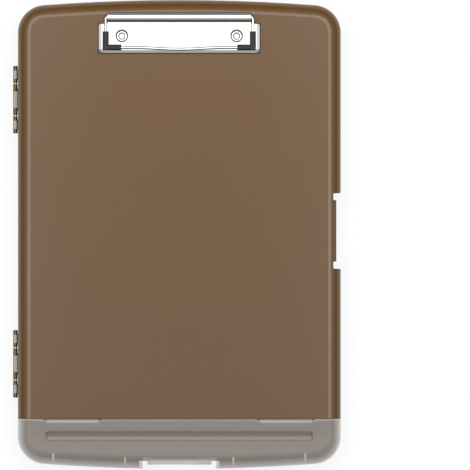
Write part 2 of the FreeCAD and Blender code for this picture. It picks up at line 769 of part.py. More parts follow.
def make_pen_lid(doc):
    """Translucent lid over the pen compartment, hinged at the seam."""
    body = new_body(doc, "pen_lid")
    add_shell(body, "lid_wall", "lid")
    middle = f"{FRONT} - lid_wall / 2"
    wall_line = f"-({HALF_LENGTH} - lid_wall / 2)"
    notch_inner = f"{FOOT_NOTCH_FLOOR} + lid_wall"
    notch_wall = [
        (wall_line, PARTING),
        (notch_inner, PARTING),
        (notch_inner, middle),
        (wall_line, middle, "front_edge_radius - lid_wall / 2"),
    ]
    side = "foot_notch_width / 2 + lid_wall"
    draw = path(notch_wall)
    extrude(body, PAD, "foot_notch_wall", "YZ_Plane", f"-({side})", side, draw)
    below = f"{PARTING} - cut_overrun"
    above = f"{FRONT} + cut_overrun"
    cut_foot_notch(body, FOOT_NOTCH_FLOOR, below, above)

    def head_end(sketch):
        """Everything on the cover's side of the seam."""
        low = (f"-({HALF_WIDTH} + cut_overrun)", LID_END)
        draw_box(sketch, low, (f"{HALF_WIDTH} + cut_overrun", f"{HALF_LENGTH} + cut_overrun"))

    extrude(body, POCKET, "head_end", "XY_Plane", below, above, head_end)
    round_edge = [
        (LID_END, f"{LID_AXIS_Z} - cut_overrun"),
        (LID_END, FRONT, "barrel_radius"),
        (f"{LID_AXIS_Y} - cut_overrun", FRONT),
        (f"{LID_AXIS_Y} - cut_overrun", above),
        (f"{LID_END} + cut_overrun", above),
        (f"{LID_END} + cut_overrun", f"{LID_AXIS_Z} - cut_overrun"),
    ]
    ends = (f"-({HALF_WIDTH} + cut_overrun)", f"{HALF_WIDTH} + cut_overrun")
    extrude(body, POCKET, "seam_edge", "YZ_Plane", *ends, path(round_edge))
    add_channel(body)
    ribs = (
        ("inner", "inner_rib_place", "(case_length / 2 - inner_rib_gap)"),
        ("outer", "(case_width / 2 - outer_rib_setback)", "(case_length / 2 - outer_rib_gap)"),
    )
    for name, place, reach in ribs:
        rib = [
            (f"-{reach}", f"{FRONT} - lid_rib_drop - lid_rib_height"),
            (f"-({reach} - lid_rib_length)", f"{FRONT} - lid_rib_drop - lid_rib_height"),
            (f"-({reach} - lid_rib_length)", middle),
            (f"-{reach}", f"{FRONT} - lid_rib_drop"),
        ]
        for side_name, sign in SIDES.items():
            ends = (f"{sign} * {place} - lid_rib_thickness / 2", f"{sign} * {place} + lid_rib_thickness / 2")
            draw = path(rib)
            extrude(body, PAD, f"{side_name}_{name}_rib", "YZ_Plane", *ends, draw)
    add_foot_tongue(body, notch_inner)
    add_barrels(body)
    return body


def add_channel(body):
    """Long channel pressed into the lid's plate, with the same wall round it."""
    floor = f"{FRONT} - channel_depth"

    def outline(grow):
        """Rounded rectangle of the channel, grown by an expression."""
        across = f"case_width / 2 - channel_margin + ({grow})"
        along = f"channel_width / 2 + ({grow})"
        bend = f"channel_corner_radius + ({grow})"
        return [
            (f"-({across})", f"{CHANNEL_PLACE} - ({along})", bend),
            (across, f"{CHANNEL_PLACE} - ({along})", bend),
            (across, f"{CHANNEL_PLACE} + {along}", bend),
            (f"-({across})", f"{CHANNEL_PLACE} + {along}", bend),
        ]

    draw = path(outline("lid_wall"))
    extrude(body, PAD, "channel_wall", "XY_Plane", f"{floor} - lid_wall", f"{FRONT} - lid_wall / 2", draw)
    draw = path(outline("0"))
    extrude(body, POCKET, "channel", "XY_Plane", floor, f"{FRONT} + cut_overrun", draw)
    floor_level = worth(body, floor)
    dress(body, "PartDesign::Fillet", "channel_edge", "channel_floor_radius", level_edges(floor_level))


def add_foot_tongue(body, inner):
    """Latch tongue of the pen lid, with the lip that a finger lifts."""
    half = "foot_tongue_width / 2"
    draw = box((f"-{half}", FOOT_NOTCH_FLOOR), (half, inner))
    extrude(body, PAD, "foot_tongue", "XY_Plane", TONGUE_FOOT, f"{PARTING} + cut_overrun", draw)
    root = f"{FOOT_NOTCH_FLOOR} + lid_wall / 2"
    tip = f"{FOOT_NOTCH_FLOOR} - foot_lip_reach"
    lip = [
        (f"-{half}", root),
        (f"-{half}", FOOT_NOTCH_FLOOR),
        (f"-({half} - lip_taper)", tip),
        (f"{half} - lip_taper", tip),
        (half, FOOT_NOTCH_FLOOR),
        (half, root),
    ]
    lip_top = f"{TONGUE_FOOT} + lip_thickness"
    extrude(body, PAD, "foot_lip", "XY_Plane", TONGUE_FOOT, lip_top, path(lip))


def add_barrels(body):
    """Hinge barrels in the front corner of the lid, with pockets that clear the pin posts."""
    for side, sign in SIDES.items():
        ends = (f"{sign} * {BARREL_PLACE} - barrel_length / 2", f"{sign} * {BARREL_PLACE} + barrel_length / 2")
        draw = circle((LID_AXIS_Y, LID_AXIS_Z), "barrel_radius")
        extrude(body, PAD, f"{side}_barrel", "YZ_Plane", *ends, draw)
    low_y = f"{LID_AXIS_Y} - post_radius - post_gap"
    high_y = f"{LID_END} + cut_overrun"
    low_z = f"{PARTITION_TOP} - cut_overrun"
    high_z = f"{LID_AXIS_Z} + post_radius + post_gap"
    for name, low, high in post_spans():
        ends = (f"{low} - post_gap", f"{high} + post_gap")
        draw = box((low_y, low_z), (high_y, high_z))
        extrude(body, POCKET, f"{name}_pocket", "YZ_Plane", *ends, draw)
    for side, sign in SIDES.items():
        span = "barrel_length / 2 + post_gap + post_thickness"
        ends = (f"{sign} * {BARREL_PLACE} - ({span})", f"{sign} * {BARREL_PLACE} + {span}")
        radius = "lid_pin_radius + pin_clearance"
        draw = circle((LID_AXIS_Y, LID_AXIS_Z), radius)
        extrude(body, POCKET, f"{side}_pin_bore", "YZ_Plane", *ends, draw)


def make_clip_plate(doc):
    """Pressed steel plate of the clip: sloped flange, flat top and the rolled edge for the wire."""
    body = new_body(doc, "clip_plate")
    half = "plate_width / 2"
    footprint = [
        (f"-{half}", PLATE_FRONT, "plate_corner_radius"),
        (half, PLATE_FRONT, "plate_corner_radius"),
        (half, f"{PLATE_BACK} - wing_cut_length"),
        (f"{half} - wing_cut_width", PLATE_BACK),
        (f"-({half} - wing_cut_width)", PLATE_BACK),
        (f"-{half}", f"{PLATE_BACK} - wing_cut_length"),
    ]
    extrude(body, PAD, "plate", "XY_Plane", FRONT, PLATE_TOP, path(footprint))
    top_level = worth(body, PLATE_TOP)
    back = worth(body, f"{PLATE_BACK} - wing_cut_length")

    def flanged(edge):
        """Whether an edge of the top face has a flange below it."""
        return flat_at(edge, top_level) and edge.BoundBox.YMax < back + SAME_LENGTH

    dress(body, "PartDesign::Chamfer", "flange", "flange_run", flanged)
    inset = "flange_run + plate_sheet / 2"
    bend = "plate_corner_radius - plate_sheet"
    hollow = [
        (f"-({half} - ({inset}))", f"{PLATE_FRONT} + {inset}", bend),
        (f"{half} - ({inset})", f"{PLATE_FRONT} + {inset}", bend),
        (f"{half} - ({inset})", f"{PLATE_BACK} + cut_overrun"),
        (f"-({half} - ({inset}))", f"{PLATE_BACK} + cut_overrun"),
    ]
    under = f"{PLATE_TOP} - plate_sheet"
    draw = path(hollow)
    extrude(body, POCKET, "plate_hollow", "XY_Plane", f"{FRONT} - cut_overrun", under, draw)
    low = (f"-{CURL_HALF}", f"{PLATE_BACK} - cut_overrun")
    draw = box(low, (CURL_HALF, CURL_PLACE))
    extrude(body, PAD, "bridge", "XY_Plane", under, PLATE_TOP, draw)

    def ring(sketch):
        """Section of the rolled edge."""
        draw_circle(sketch, (CURL_PLACE, CURL_LEVEL), "curl_radius")
        draw_circle(sketch, (CURL_PLACE, CURL_LEVEL), "curl_radius - plate_sheet")

    extrude(body, PAD, "curl", "YZ_Plane", f"-{CURL_HALF}", CURL_HALF, ring)
    slot_low = (f"{CURL_PLACE} - curl_radius - cut_overrun", PLATE_TOP)
    slot_high = (f"{CURL_PLACE} - curl_radius / 2", f"{PLATE_TOP} + curl_gap")
    draw = box(slot_low, slot_high)
    extrude(body, POCKET, "curl_slot", "YZ_Plane", f"-{CURL_HALF}", CURL_HALF, draw)
    for side, sign in SIDES.items():
        place = (f"{sign} * {RIVET_SIDE}", RIVET_PLACE)
        radius = "rivet_shank_radius + rivet_hole_clearance"
        draw = circle(place, radius)
        extrude(body, POCKET, f"{side}_rivet_hole", "XY_Plane", FRONT, f"{PLATE_TOP} + cut_overrun", draw)
    return body


def revolve(body, name, profile):
    """Turn a profile, drawn as radius and height, about the body's own upright axis."""
    sketch = new_sketch(body, f"{name}_sketch", "XZ_Plane")
    draw_path(sketch, profile)
    feature = body.newObject("PartDesign::Revolution", name)
    feature.Profile = sketch
    feature.ReferenceAxis = (sketch, ["V_Axis"])
    feature.Angle = 360
    return feature


def place_at(piece, x, y, z):
    """Tie a sub-part's place to three expressions."""
    for axis, text in (("x", x), ("y", y), ("z", z)):
        piece.setExpression(f"Placement.Base.{axis}", bound(text))


def make_rivet(doc, side, sign):
    """Tubular rivet: dished head on the plate, shank, and a clinched rim under the washer."""
    body = new_body(doc, f"{side}_rivet")
    stack = "(plate_rise + cover_wall + washer_thickness)"
    profile = [
        ("0", "rivet_head_height - rivet_dish_depth"),
        ("rivet_dish_radius - rivet_dish_slope", "rivet_head_height - rivet_dish_depth"),
        ("rivet_dish_radius", "rivet_head_height", "rivet_edge_radius"),
        ("rivet_head_radius", "rivet_head_height", "rivet_edge_radius"),
        ("rivet_head_radius", "0"),
        ("rivet_shank_radius", "0"),
        ("rivet_shank_radius", f"-{stack}"),
        ("clinch_radius", f"-{stack}"),
        ("clinch_radius", f"-({stack} + clinch_height)", "rivet_edge_radius"),
        ("rivet_bore_radius", f"-({stack} + clinch_height)"),
        ("rivet_bore_radius", "-rivet_floor"),
        ("0", "-rivet_floor"),
    ]
    revolve(body, "rivet", profile)
    place_at(body, f"{sign} * {RIVET_SIDE}", RIVET_PLACE, PLATE_TOP)
    return body


def make_rivet_washer(doc, side, sign):
    """Flat washer that spreads a rivet's load under the cover."""
    body = new_body(doc, f"{side}_rivet_washer")
    inner = "rivet_shank_radius + rivet_hole_clearance"
    profile = [
        (inner, "-washer_thickness"),
        ("washer_radius", "-washer_thickness"),
        ("washer_radius", "0"),
        (inner, "0"),
    ]
    revolve(body, "washer", profile)
    place_at(body, f"{sign} * {RIVET_SIDE}", RIVET_PLACE, f"{FRONT} - cover_wall")
    return body


def pipe(body, kind, name, spine_corners, role, level, centre, radius):
    """Round section carried along a flat path at the height of the wire."""
    spine = new_sketch(body, f"{name}_path", "XY_Plane", CURL_LEVEL)
    draw_path(spine, spine_corners, closed=False)
    section = new_sketch(body, f"{name}_section", role, level)
    draw_circle(section, centre, radius)
    feature = body.newObject(kind, name)
    feature.Profile = section
    feature.Spine = (spine, [])
    return feature


def make_clip_bail(doc):
    """Wire bail: cranked ends inside the rolled edge, two legs and a bowed front run."""
    body = new_body(doc, "clip_bail")
    crank_end = f"{CRANK_START} - crank_run"
    wire_end = f"{crank_end} - crank_length"
    cranked = f"{CURL_PLACE} - crank_offset"
    left = [
        (f"-({wire_end})", cranked),
        (f"-({crank_end})", cranked, "crank_bend_radius"),
        (f"-{CRANK_START}", CURL_PLACE, "crank_bend_radius"),
        (f"-{BAIL_SIDE}", CURL_PLACE, "bail_bend_radius"),
        (f"-{BAIL_SIDE}", BAIL_PLACE, "bail_bend_radius"),
        ("-bow_half_length", BAIL_PLACE, "bow_bend_radius"),
    ]
    bow = ("0", f"{BAIL_PLACE} - bow_depth", "bow_bend_radius")
    right = [(corner[0][1:], *corner[1:]) for corner in reversed(left)]
    pipe(body, "PartDesign::AdditivePipe", "wire", [*left, bow, *right], "YZ_Plane",
         f"-({wire_end})", (cranked, CURL_LEVEL), "wire_radius")
    return body


def make_corner_sleeve(doc, side, sign):
    """Rubber sleeve over a front corner of the wire bail."""
    body = new_body(doc, f"{side}_corner_sleeve")
    leg = f"{sign} * {BAIL_SIDE}"
    foot = f"{BAIL_PLACE} - sleeve_radius"
    outer = f"{sign} * ({BAIL_SIDE} + sleeve_radius)"
    inner = f"{sign} * ({BAIL_SIDE} + sleeve_radius - sleeve_front_arm)"
    head = f"{foot} + sleeve_side_arm"
    draw = circle((leg, CURL_LEVEL), "sleeve_radius")
    extrude(body, PAD, "side_arm", "XZ_Plane", foot, head, draw)
    ends = (outer, inner) if sign < 0 else (inner, outer)
    draw = circle((BAIL_PLACE, CURL_LEVEL), "sleeve_radius")
    extrude(body, PAD, "front_arm", "YZ_Plane", *ends, draw)
    above = f"{head} + cut_overrun"
    corners = [
        (leg, above),
        (leg, BAIL_PLACE, "bail_bend_radius"),
        (f"{inner} - {sign} * cut_overrun", BAIL_PLACE),
    ]
    pipe(body, "PartDesign::SubtractivePipe", "wire_bore", corners, "XZ_Plane",
         above, (leg, CURL_LEVEL), "wire_radius + sleeve_clearance")
    return body


def make_pin(doc, label, radius, length, turn, start):
    """Straight steel pin from a start place, lying along the axis that a rotation turns it to."""
    pin = doc.addObject("Part::Cylinder", label)
    pin.Label = label
    pin.setExpression("Radius", bound(radius))
    pin.setExpression("Height", bound(length))
    pin.Placement = FreeCAD.Placement(FreeCAD.Vector(0, 0, 0), turn)
    place_at(pin, *start)
    return pin


def make_pins(doc):
    """Pins of the two main hinges and of the pen lid's two barrels."""
    along_y = FreeCAD.Rotation(FreeCAD.Vector(0, 0, 1), FreeCAD.Vector(0, 1, 0))
    along_x = FreeCAD.Rotation(FreeCAD.Vector(0, 0, 1), FreeCAD.Vector(1, 0, 0))
    half = "middle_knuckle_length / 2 + knuckle_end_gap + outer_knuckle_length - hinge_pin_recess"
    pins = []
    for hinge, place in HINGES.items():
        start = (HINGE_X, f"{place} - ({half})", "base_height")
        length = f"2 * ({half})"
        pins.append(make_pin(doc, f"{hinge}_hinge_pin", "hinge_pin_radius", length, along_y, start))
    half = "barrel_length / 2 + post_gap + post_thickness"
    for side, sign in SIDES.items():
        start = (f"{sign} * {BARREL_PLACE} - ({half})", LID_AXIS_Y, LID_AXIS_Z)
        pins.append(make_pin(doc, f"{side}_lid_pin", "lid_pin_radius", f"2 * ({half})", along_x, start))
    return pins


def check_document(doc, pieces):
    """Stop if any object failed to build or any sub-part has no sound shape."""
    for item in doc.Objects:
        if "Invalid" in item.State or "Error" in item.State:
            raise RuntimeError(f"{item.Name} failed: {item.State}")
    for piece in pieces:
        shape = piece.Shape
        if shape.isNull() or not shape.isValid() or not shape.Solids:
            raise RuntimeError(f"{piece.Label} has no sound shape")


def main():
    """Build the document, check it and write one file for each sub-part."""
    doc = FreeCAD.newDocument("storage_clipboard_box")
    fill_sheet(doc)
    pieces = [make_base_shell(doc), make_front_cover(doc), make_pen_lid(doc), make_clip_plate(doc)]
    pieces.append(make_clip_bail(doc))
    for side, sign in SIDES.items():
        pieces.append(make_corner_sleeve(doc, side, sign))
        pieces.append(make_rivet(doc, side, sign))
        pieces.append(make_rivet_washer(doc, side, sign))
    pieces.extend(make_pins(doc))
    doc.recompute()
    check_document(doc, pieces)
    os.makedirs("parts", exist_ok=True)
    for piece in pieces:
        piece.Shape.exportStep(f"parts/{piece.Label}.step")
        print(piece.Label, len(piece.Shape.Solids), round(piece.Shape.Volume, 1))


main()
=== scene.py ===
"""Storage clipboard box: its finishes, the spring clip's fine pieces, and the studio round it.

Lengths are millimetres in the class fields and metres in Blender.
"""

import logging
import math
from collections.abc import Callable, Sequence
from dataclasses import dataclass, field
from enum import Enum

import bpy
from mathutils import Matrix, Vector


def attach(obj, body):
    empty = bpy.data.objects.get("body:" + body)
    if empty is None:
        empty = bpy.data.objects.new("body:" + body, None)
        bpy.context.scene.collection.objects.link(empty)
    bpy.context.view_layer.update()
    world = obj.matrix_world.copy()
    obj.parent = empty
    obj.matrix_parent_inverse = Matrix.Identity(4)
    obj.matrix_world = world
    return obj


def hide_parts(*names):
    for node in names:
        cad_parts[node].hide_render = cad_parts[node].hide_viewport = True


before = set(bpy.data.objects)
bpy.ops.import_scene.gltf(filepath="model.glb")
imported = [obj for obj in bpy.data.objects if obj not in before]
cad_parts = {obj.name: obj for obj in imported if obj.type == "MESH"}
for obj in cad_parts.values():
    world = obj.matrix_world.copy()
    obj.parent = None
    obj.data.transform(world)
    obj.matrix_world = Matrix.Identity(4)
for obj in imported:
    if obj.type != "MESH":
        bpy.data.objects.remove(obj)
bpy.ops.object.select_all(action="DESELECT")

LOG = logging.getLogger("clipboard_box")
MM = 0.001
# Lengths count as equal within SAME, vertices merge within MERGE, and a face counts as square to
# an axis where its normal is off by less than SQUARE.
SAME = 0.01 * MM
MERGE = 0.001 * MM
SQUARE = 0.01
# Steps in a bend or a corner, steps in a rounded edge, and sides of a turned piece and of a rod.
BEND_STEPS = 8
EDGE_STEPS = 2
TURNED_SIDES = 64
ROD_SIDES = 40

Colour = tuple[float, float, float, float]
Span = tuple[float, float]
Box = tuple[Span, ...]
Stops = tuple[tuple[float, str | Colour], ...]
Socket = bpy.types.NodeSocket
Tree = bpy.types.NodeTree


class Side(Enum):
    """Left or right of the case, seen from the front."""

    LEFT = -1
    RIGHT = 1

    @property
    def label(self) -> str:
        """Name of the side as the CAD nodes write it."""
        return self.name.lower()


class Run(Enum):
    """Which way a rod lies, with the axis that turns an upright cylinder that way."""

    ALONG = "X"
    ACROSS = "Y"


def linear(code: str) -> Colour:
    """Linear colour of an sRGB hex code.

    Args:
        code: Six hex digits after a hash sign.

    Returns:
        Red, green, blue and an alpha of one.
    """
    channels = []
    for start in (1, 3, 5):
        value = int(code[start:start + 2], 16) / 255
        channels.append(value / 12.92 if value <= 0.04045 else ((value + 0.055) / 1.055) ** 2.4)
    return (channels[0], channels[1], channels[2], 1.0)


def grey(value: float) -> Colour:
    """Opaque linear grey."""
    return (value, value, value, 1.0)


def from_to(span_mm: Span) -> dict[str, float]:
    """Start and end of a stretch in millimetres, as the inputs of a range."""
    return {"From_Min": span_mm[0] * MM, "From_Max": span_mm[1] * MM}


def set_stops(ramp: bpy.types.ColorRamp, stops: Stops) -> None:
    """Fill a ramp of colours.

    Args:
        ramp: The ramp.
        stops: Place between nought and one, and hex code or linear colour, of each stop.
    """
    while len(ramp.elements) < len(stops):
        ramp.elements.new(0.5)
    for element, (place, colour) in zip(ramp.elements, stops):
        element.position = place
        element.color = linear(colour) if isinstance(colour, str) else colour


def add_node(
    tree: Tree, kind: str, settings: dict | None = None, **inputs: object,
) -> bpy.types.Node:
    """Add a node with its settings and inputs.

    Args:
        tree: Node tree that takes the node.
        kind: Blender's name for the node type.
        settings: Values of its properties by name, and under "stops" those of its ramp.
        inputs: Value or output socket of each input, by the input's name with underscores for
            spaces, or by an underscore and the input's number.

    Returns:
        The new node.
    """
    node = tree.nodes.new(kind)
    for name, value in (settings or {}).items():
        if name == "stops":
            set_stops(node.color_ramp, value)
        else:
            setattr(node, name, value)
    for name, value in inputs.items():
        numbered = name[1:].isdigit()
        target = node.inputs[int(name[1:])] if numbered else node.inputs[name.replace("_", " ")]
        if isinstance(value, Socket):
            tree.links.new(value, target)
        else:
            target.default_value = value
    return node


def within(tree: Tree, *limits: tuple[Socket, Span]) -> Socket:
    """One where every length lies in its range, and nought elsewhere.

    Args:
        tree: The material's node tree.
        limits: Socket of each length, with the least and the most it may be, in millimetres.

    Returns:
        The mask's socket.
    """
    mask = 1.0
    for length, (low, high) in limits:
        middle, reach = (low + high) / 2 * MM, (high - low) / 2 * MM
        inside = add_node(
            tree, "ShaderNodeMath", {"operation": "COMPARE"}, _0=length, _1=middle, _2=reach,
        )
        mask = add_node(
            tree, "ShaderNodeMath", {"operation": "MULTIPLY"}, _0=inside.outputs["Value"], _1=mask,
        ).outputs["Value"]
    return mask


def paint(
    tree: Tree, ground: str | Socket, layers: Sequence[tuple[str | Socket, Socket]],
) -> Socket:
    """Colour of a surface where masks lay colours over a ground, each over those before it.

    Args:
        tree: The material's node tree.
        ground: Hex code or socket of the colour below.
        layers: Hex code or socket of each colour, with the socket of its mask.

    Returns:
        The mixed colour's socket.
    """
    colour = ground
    for over, mask in layers:
        low, top = (linear(tone) if isinstance(tone, str) else tone for tone in (colour, over))
        mix = add_node(tree, "ShaderNodeMix", {"data_type": "RGBA"}, _0=mask, _6=low, _7=top)
        colour = mix.outputs[2]
    return colour


def tilt(tree: Tree) -> Socket:
    """One where the piece's surface lies level, down to nought where it stands upright.

    Args:
        tree: The material's node tree.

    Returns:
        The socket of that share.
    """
    normal = add_node(tree, "ShaderNodeTexCoord").outputs["Normal"]
    split = add_node(tree, "ShaderNodeSeparateXYZ", Vector=normal)
    level = add_node(tree, "ShaderNodeMath", {"operation": "ABSOLUTE"}, _0=split.outputs["Z"])
    return level.outputs["Value"]


def split_place(tree: Tree) -> tuple[Socket, tuple[Socket, Socket, Socket]]:
    """Place on the piece.

    Args:
        tree: The material's node tree.

    Returns:
        Socket of the place, and its lengths across, along and up.
    """
    place = add_node(tree, "ShaderNodeTexCoord").outputs["Object"]
    split = add_node(tree, "ShaderNodeSeparateXYZ", Vector=place)
    return place, tuple(split.outputs[axis] for axis in "XYZ")


def new_material(name: str) -> tuple[bpy.types.Material, Tree]:
    """Empty node material.

    Args:
        name: The material's name.

    Returns:
        The material and its node tree.
    """
    material = bpy.data.materials.new(name)
    material.use_nodes = True
    material.node_tree.nodes.clear()
    return material, material.node_tree


def dress(piece: bpy.types.Object, material: bpy.types.Material) -> None:
    """Give a piece one material all over."""
    piece.data.materials.clear()
    piece.data.materials.append(material)


def same(first: float, second: float) -> bool:
    """Whether two lengths are equal."""
    return abs(first - second) < SAME


def select_all() -> None:
    """Select the whole mesh in edit mode."""
    bpy.ops.mesh.select_all(action="SELECT")


def start_edit(name: str) -> bpy.types.Object:
    """Name the new primitive and open it in edit mode, selected all over.

    Args:
        name: The piece's name.

    Returns:
        The new piece.
    """
    piece = bpy.context.object
    piece.name = piece.data.name = name
    bpy.ops.object.mode_set(mode="EDIT")
    select_all()
    return piece


def stop_edit(piece: bpy.types.Object) -> None:
    """Leave edit mode and bring the mesh up to date."""
    bpy.ops.object.mode_set(mode="OBJECT")
    piece.data.update()


def pick(piece: bpy.types.Object, kind: str, elements: Sequence, chosen: Sequence[bool]) -> None:
    """Select some elements of a piece and go back to edit mode.

    Args:
        piece: The piece.
        kind: VERT, EDGE or FACE.
        elements: All its elements of that kind.
        chosen: Whether each one is wanted.
    """
    for group in (piece.data.vertices, piece.data.edges, piece.data.polygons):
        group.foreach_set("select", [False] * len(group))
    for element, wanted in zip(elements, chosen):
        element.select = wanted
    bpy.ops.object.mode_set(mode="EDIT")
    bpy.ops.mesh.select_mode(type=kind)


def pick_edges(piece: bpy.types.Object, wanted: Callable[[Vector, Vector], bool]) -> None:
    """Select some edges in edit mode.

    Args:
        piece: The piece.
        wanted: Test of an edge by its two ends.
    """
    bpy.ops.mesh.select_mode(type="EDGE")
    stop_edit(piece)
    edges, ends = list(piece.data.edges), piece.data.vertices
    pick(piece, "EDGE", edges, [wanted(*(ends[end].co for end in edge.vertices)) for edge in edges])


def pick_faces(piece: bpy.types.Object, wanted: Callable[[bpy.types.MeshPolygon], bool]) -> None:
    """Select some faces in edit mode.

    Args:
        piece: The piece.
        wanted: Test of a face.
    """
    bpy.ops.mesh.select_mode(type="FACE")
    stop_edit(piece)
    faces = list(piece.data.polygons)
    pick(piece, "FACE", faces, [wanted(face) for face in faces])


def close_up() -> None:
    """Merge doubled vertices and turn the faces outwards, in edit mode."""
    select_all()
    bpy.ops.mesh.remove_doubles(threshold=MERGE)
    bpy.ops.mesh.normals_make_consistent(inside=False)


def modify(piece: bpy.types.Object, kind: str, **settings: object) -> None:
    """Add a modifier and apply it.

    Args:
        piece: The piece.
        kind: Blender's name for the modifier type.
        settings: Values of its properties by name.
    """
    modifier = piece.modifiers.new(kind.lower(), kind)
    for name, value in settings.items():
        setattr(modifier, name, value)
    bpy.context.view_layer.objects.active = piece
    bpy.ops.object.modifier_apply(modifier=modifier.name)


def round_edges(piece: bpy.types.Object, width_mm: float, over_degrees: float) -> None:
    """Round the edges where faces meet at more than an angle."""
    angle = math.radians(over_degrees)
    modify(
        piece, "BEVEL", width=width_mm * MM, segments=EDGE_STEPS, limit_method="ANGLE",
        angle_limit=angle,
    )


def smooth(piece: bpy.types.Object, degrees: float) -> None:
    """Shade a piece smooth where its faces meet at less than an angle.

    Args:
        piece: The piece.
        degrees: The angle.
    """
    bpy.ops.object.select_all(action="DESELECT")
    piece.select_set(True)
    bpy.context.view_layer.objects.active = piece
    bpy.ops.object.shade_smooth_by_angle(angle=math.radians(degrees))
    piece.select_set(False)


def faces_down(sheet: bpy.types.Object) -> bool:
    """Whether the largest face of a sheet looks down."""
    return max(sheet.data.polygons, key=lambda face: face.area).normal.z < 0


def flip(piece: bpy.types.Object) -> None:
    """Turn all the faces of a piece over.

    Args:
        piece: The piece.
    """
    bpy.ops.object.mode_set(mode="EDIT")
    select_all()
    bpy.ops.mesh.flip_normals()
    stop_edit(piece)


def turn(name: str, place: Span, profile: tuple[Span, ...]) -> bpy.types.Object:
    """Round piece about an upright axis.

    Args:
        name: The piece's name.
        place: Where the axis stands, in millimetres.
        profile: Radius and height of each ring, in millimetres, from the bore round to the bore.

    Returns:
        The new piece.
    """
    start_radius, start_level = profile[0]
    axis = (place[0] * MM, place[1] * MM, 0)
    bpy.ops.mesh.primitive_circle_add(vertices=TURNED_SIDES, radius=start_radius * MM)
    piece = start_edit(name)
    bpy.ops.mesh.select_mode(type="VERT")
    select_all()
    bpy.ops.transform.translate(value=(axis[0], axis[1], start_level * MM))
    for (r0, z0), (r1, z1) in zip(profile, profile[1:] + profile[:1]):
        rise = {"value": (0, 0, (z1 - z0) * MM)}
        bpy.ops.mesh.extrude_region_move(TRANSFORM_OT_translate=rise)
        if not same(r0 * MM, r1 * MM):
            bpy.ops.transform.resize(value=(r1 / r0, r1 / r0, 1), center_override=axis)
    close_up()
    stop_edit(piece)
    return piece


@dataclass(frozen=True)
class Grain:
    """Random relief of a surface, with lumps of a real width and depth."""

    width_mm: float
    depth_mm: float
    strength: float
    detail: float = 1.0

    def add(self, tree: Tree, place: Socket) -> tuple[Socket, Socket]:
        """Add the relief to a material.

        Args:
            tree: The material's node tree.
            place: Socket of the place on the piece.

        Returns:
            Sockets of the relief's height and of the normal that it tilts.
        """
        noise = add_node(
            tree, "ShaderNodeTexNoise", Vector=place, Scale=1 / (self.width_mm * MM),
            Detail=self.detail,
        )
        height = noise.outputs["Fac"]
        bump = add_node(
            tree, "ShaderNodeBump", Height=height, Strength=self.strength,
            Distance=self.depth_mm * MM,
        )
        return height, bump.outputs["Normal"]


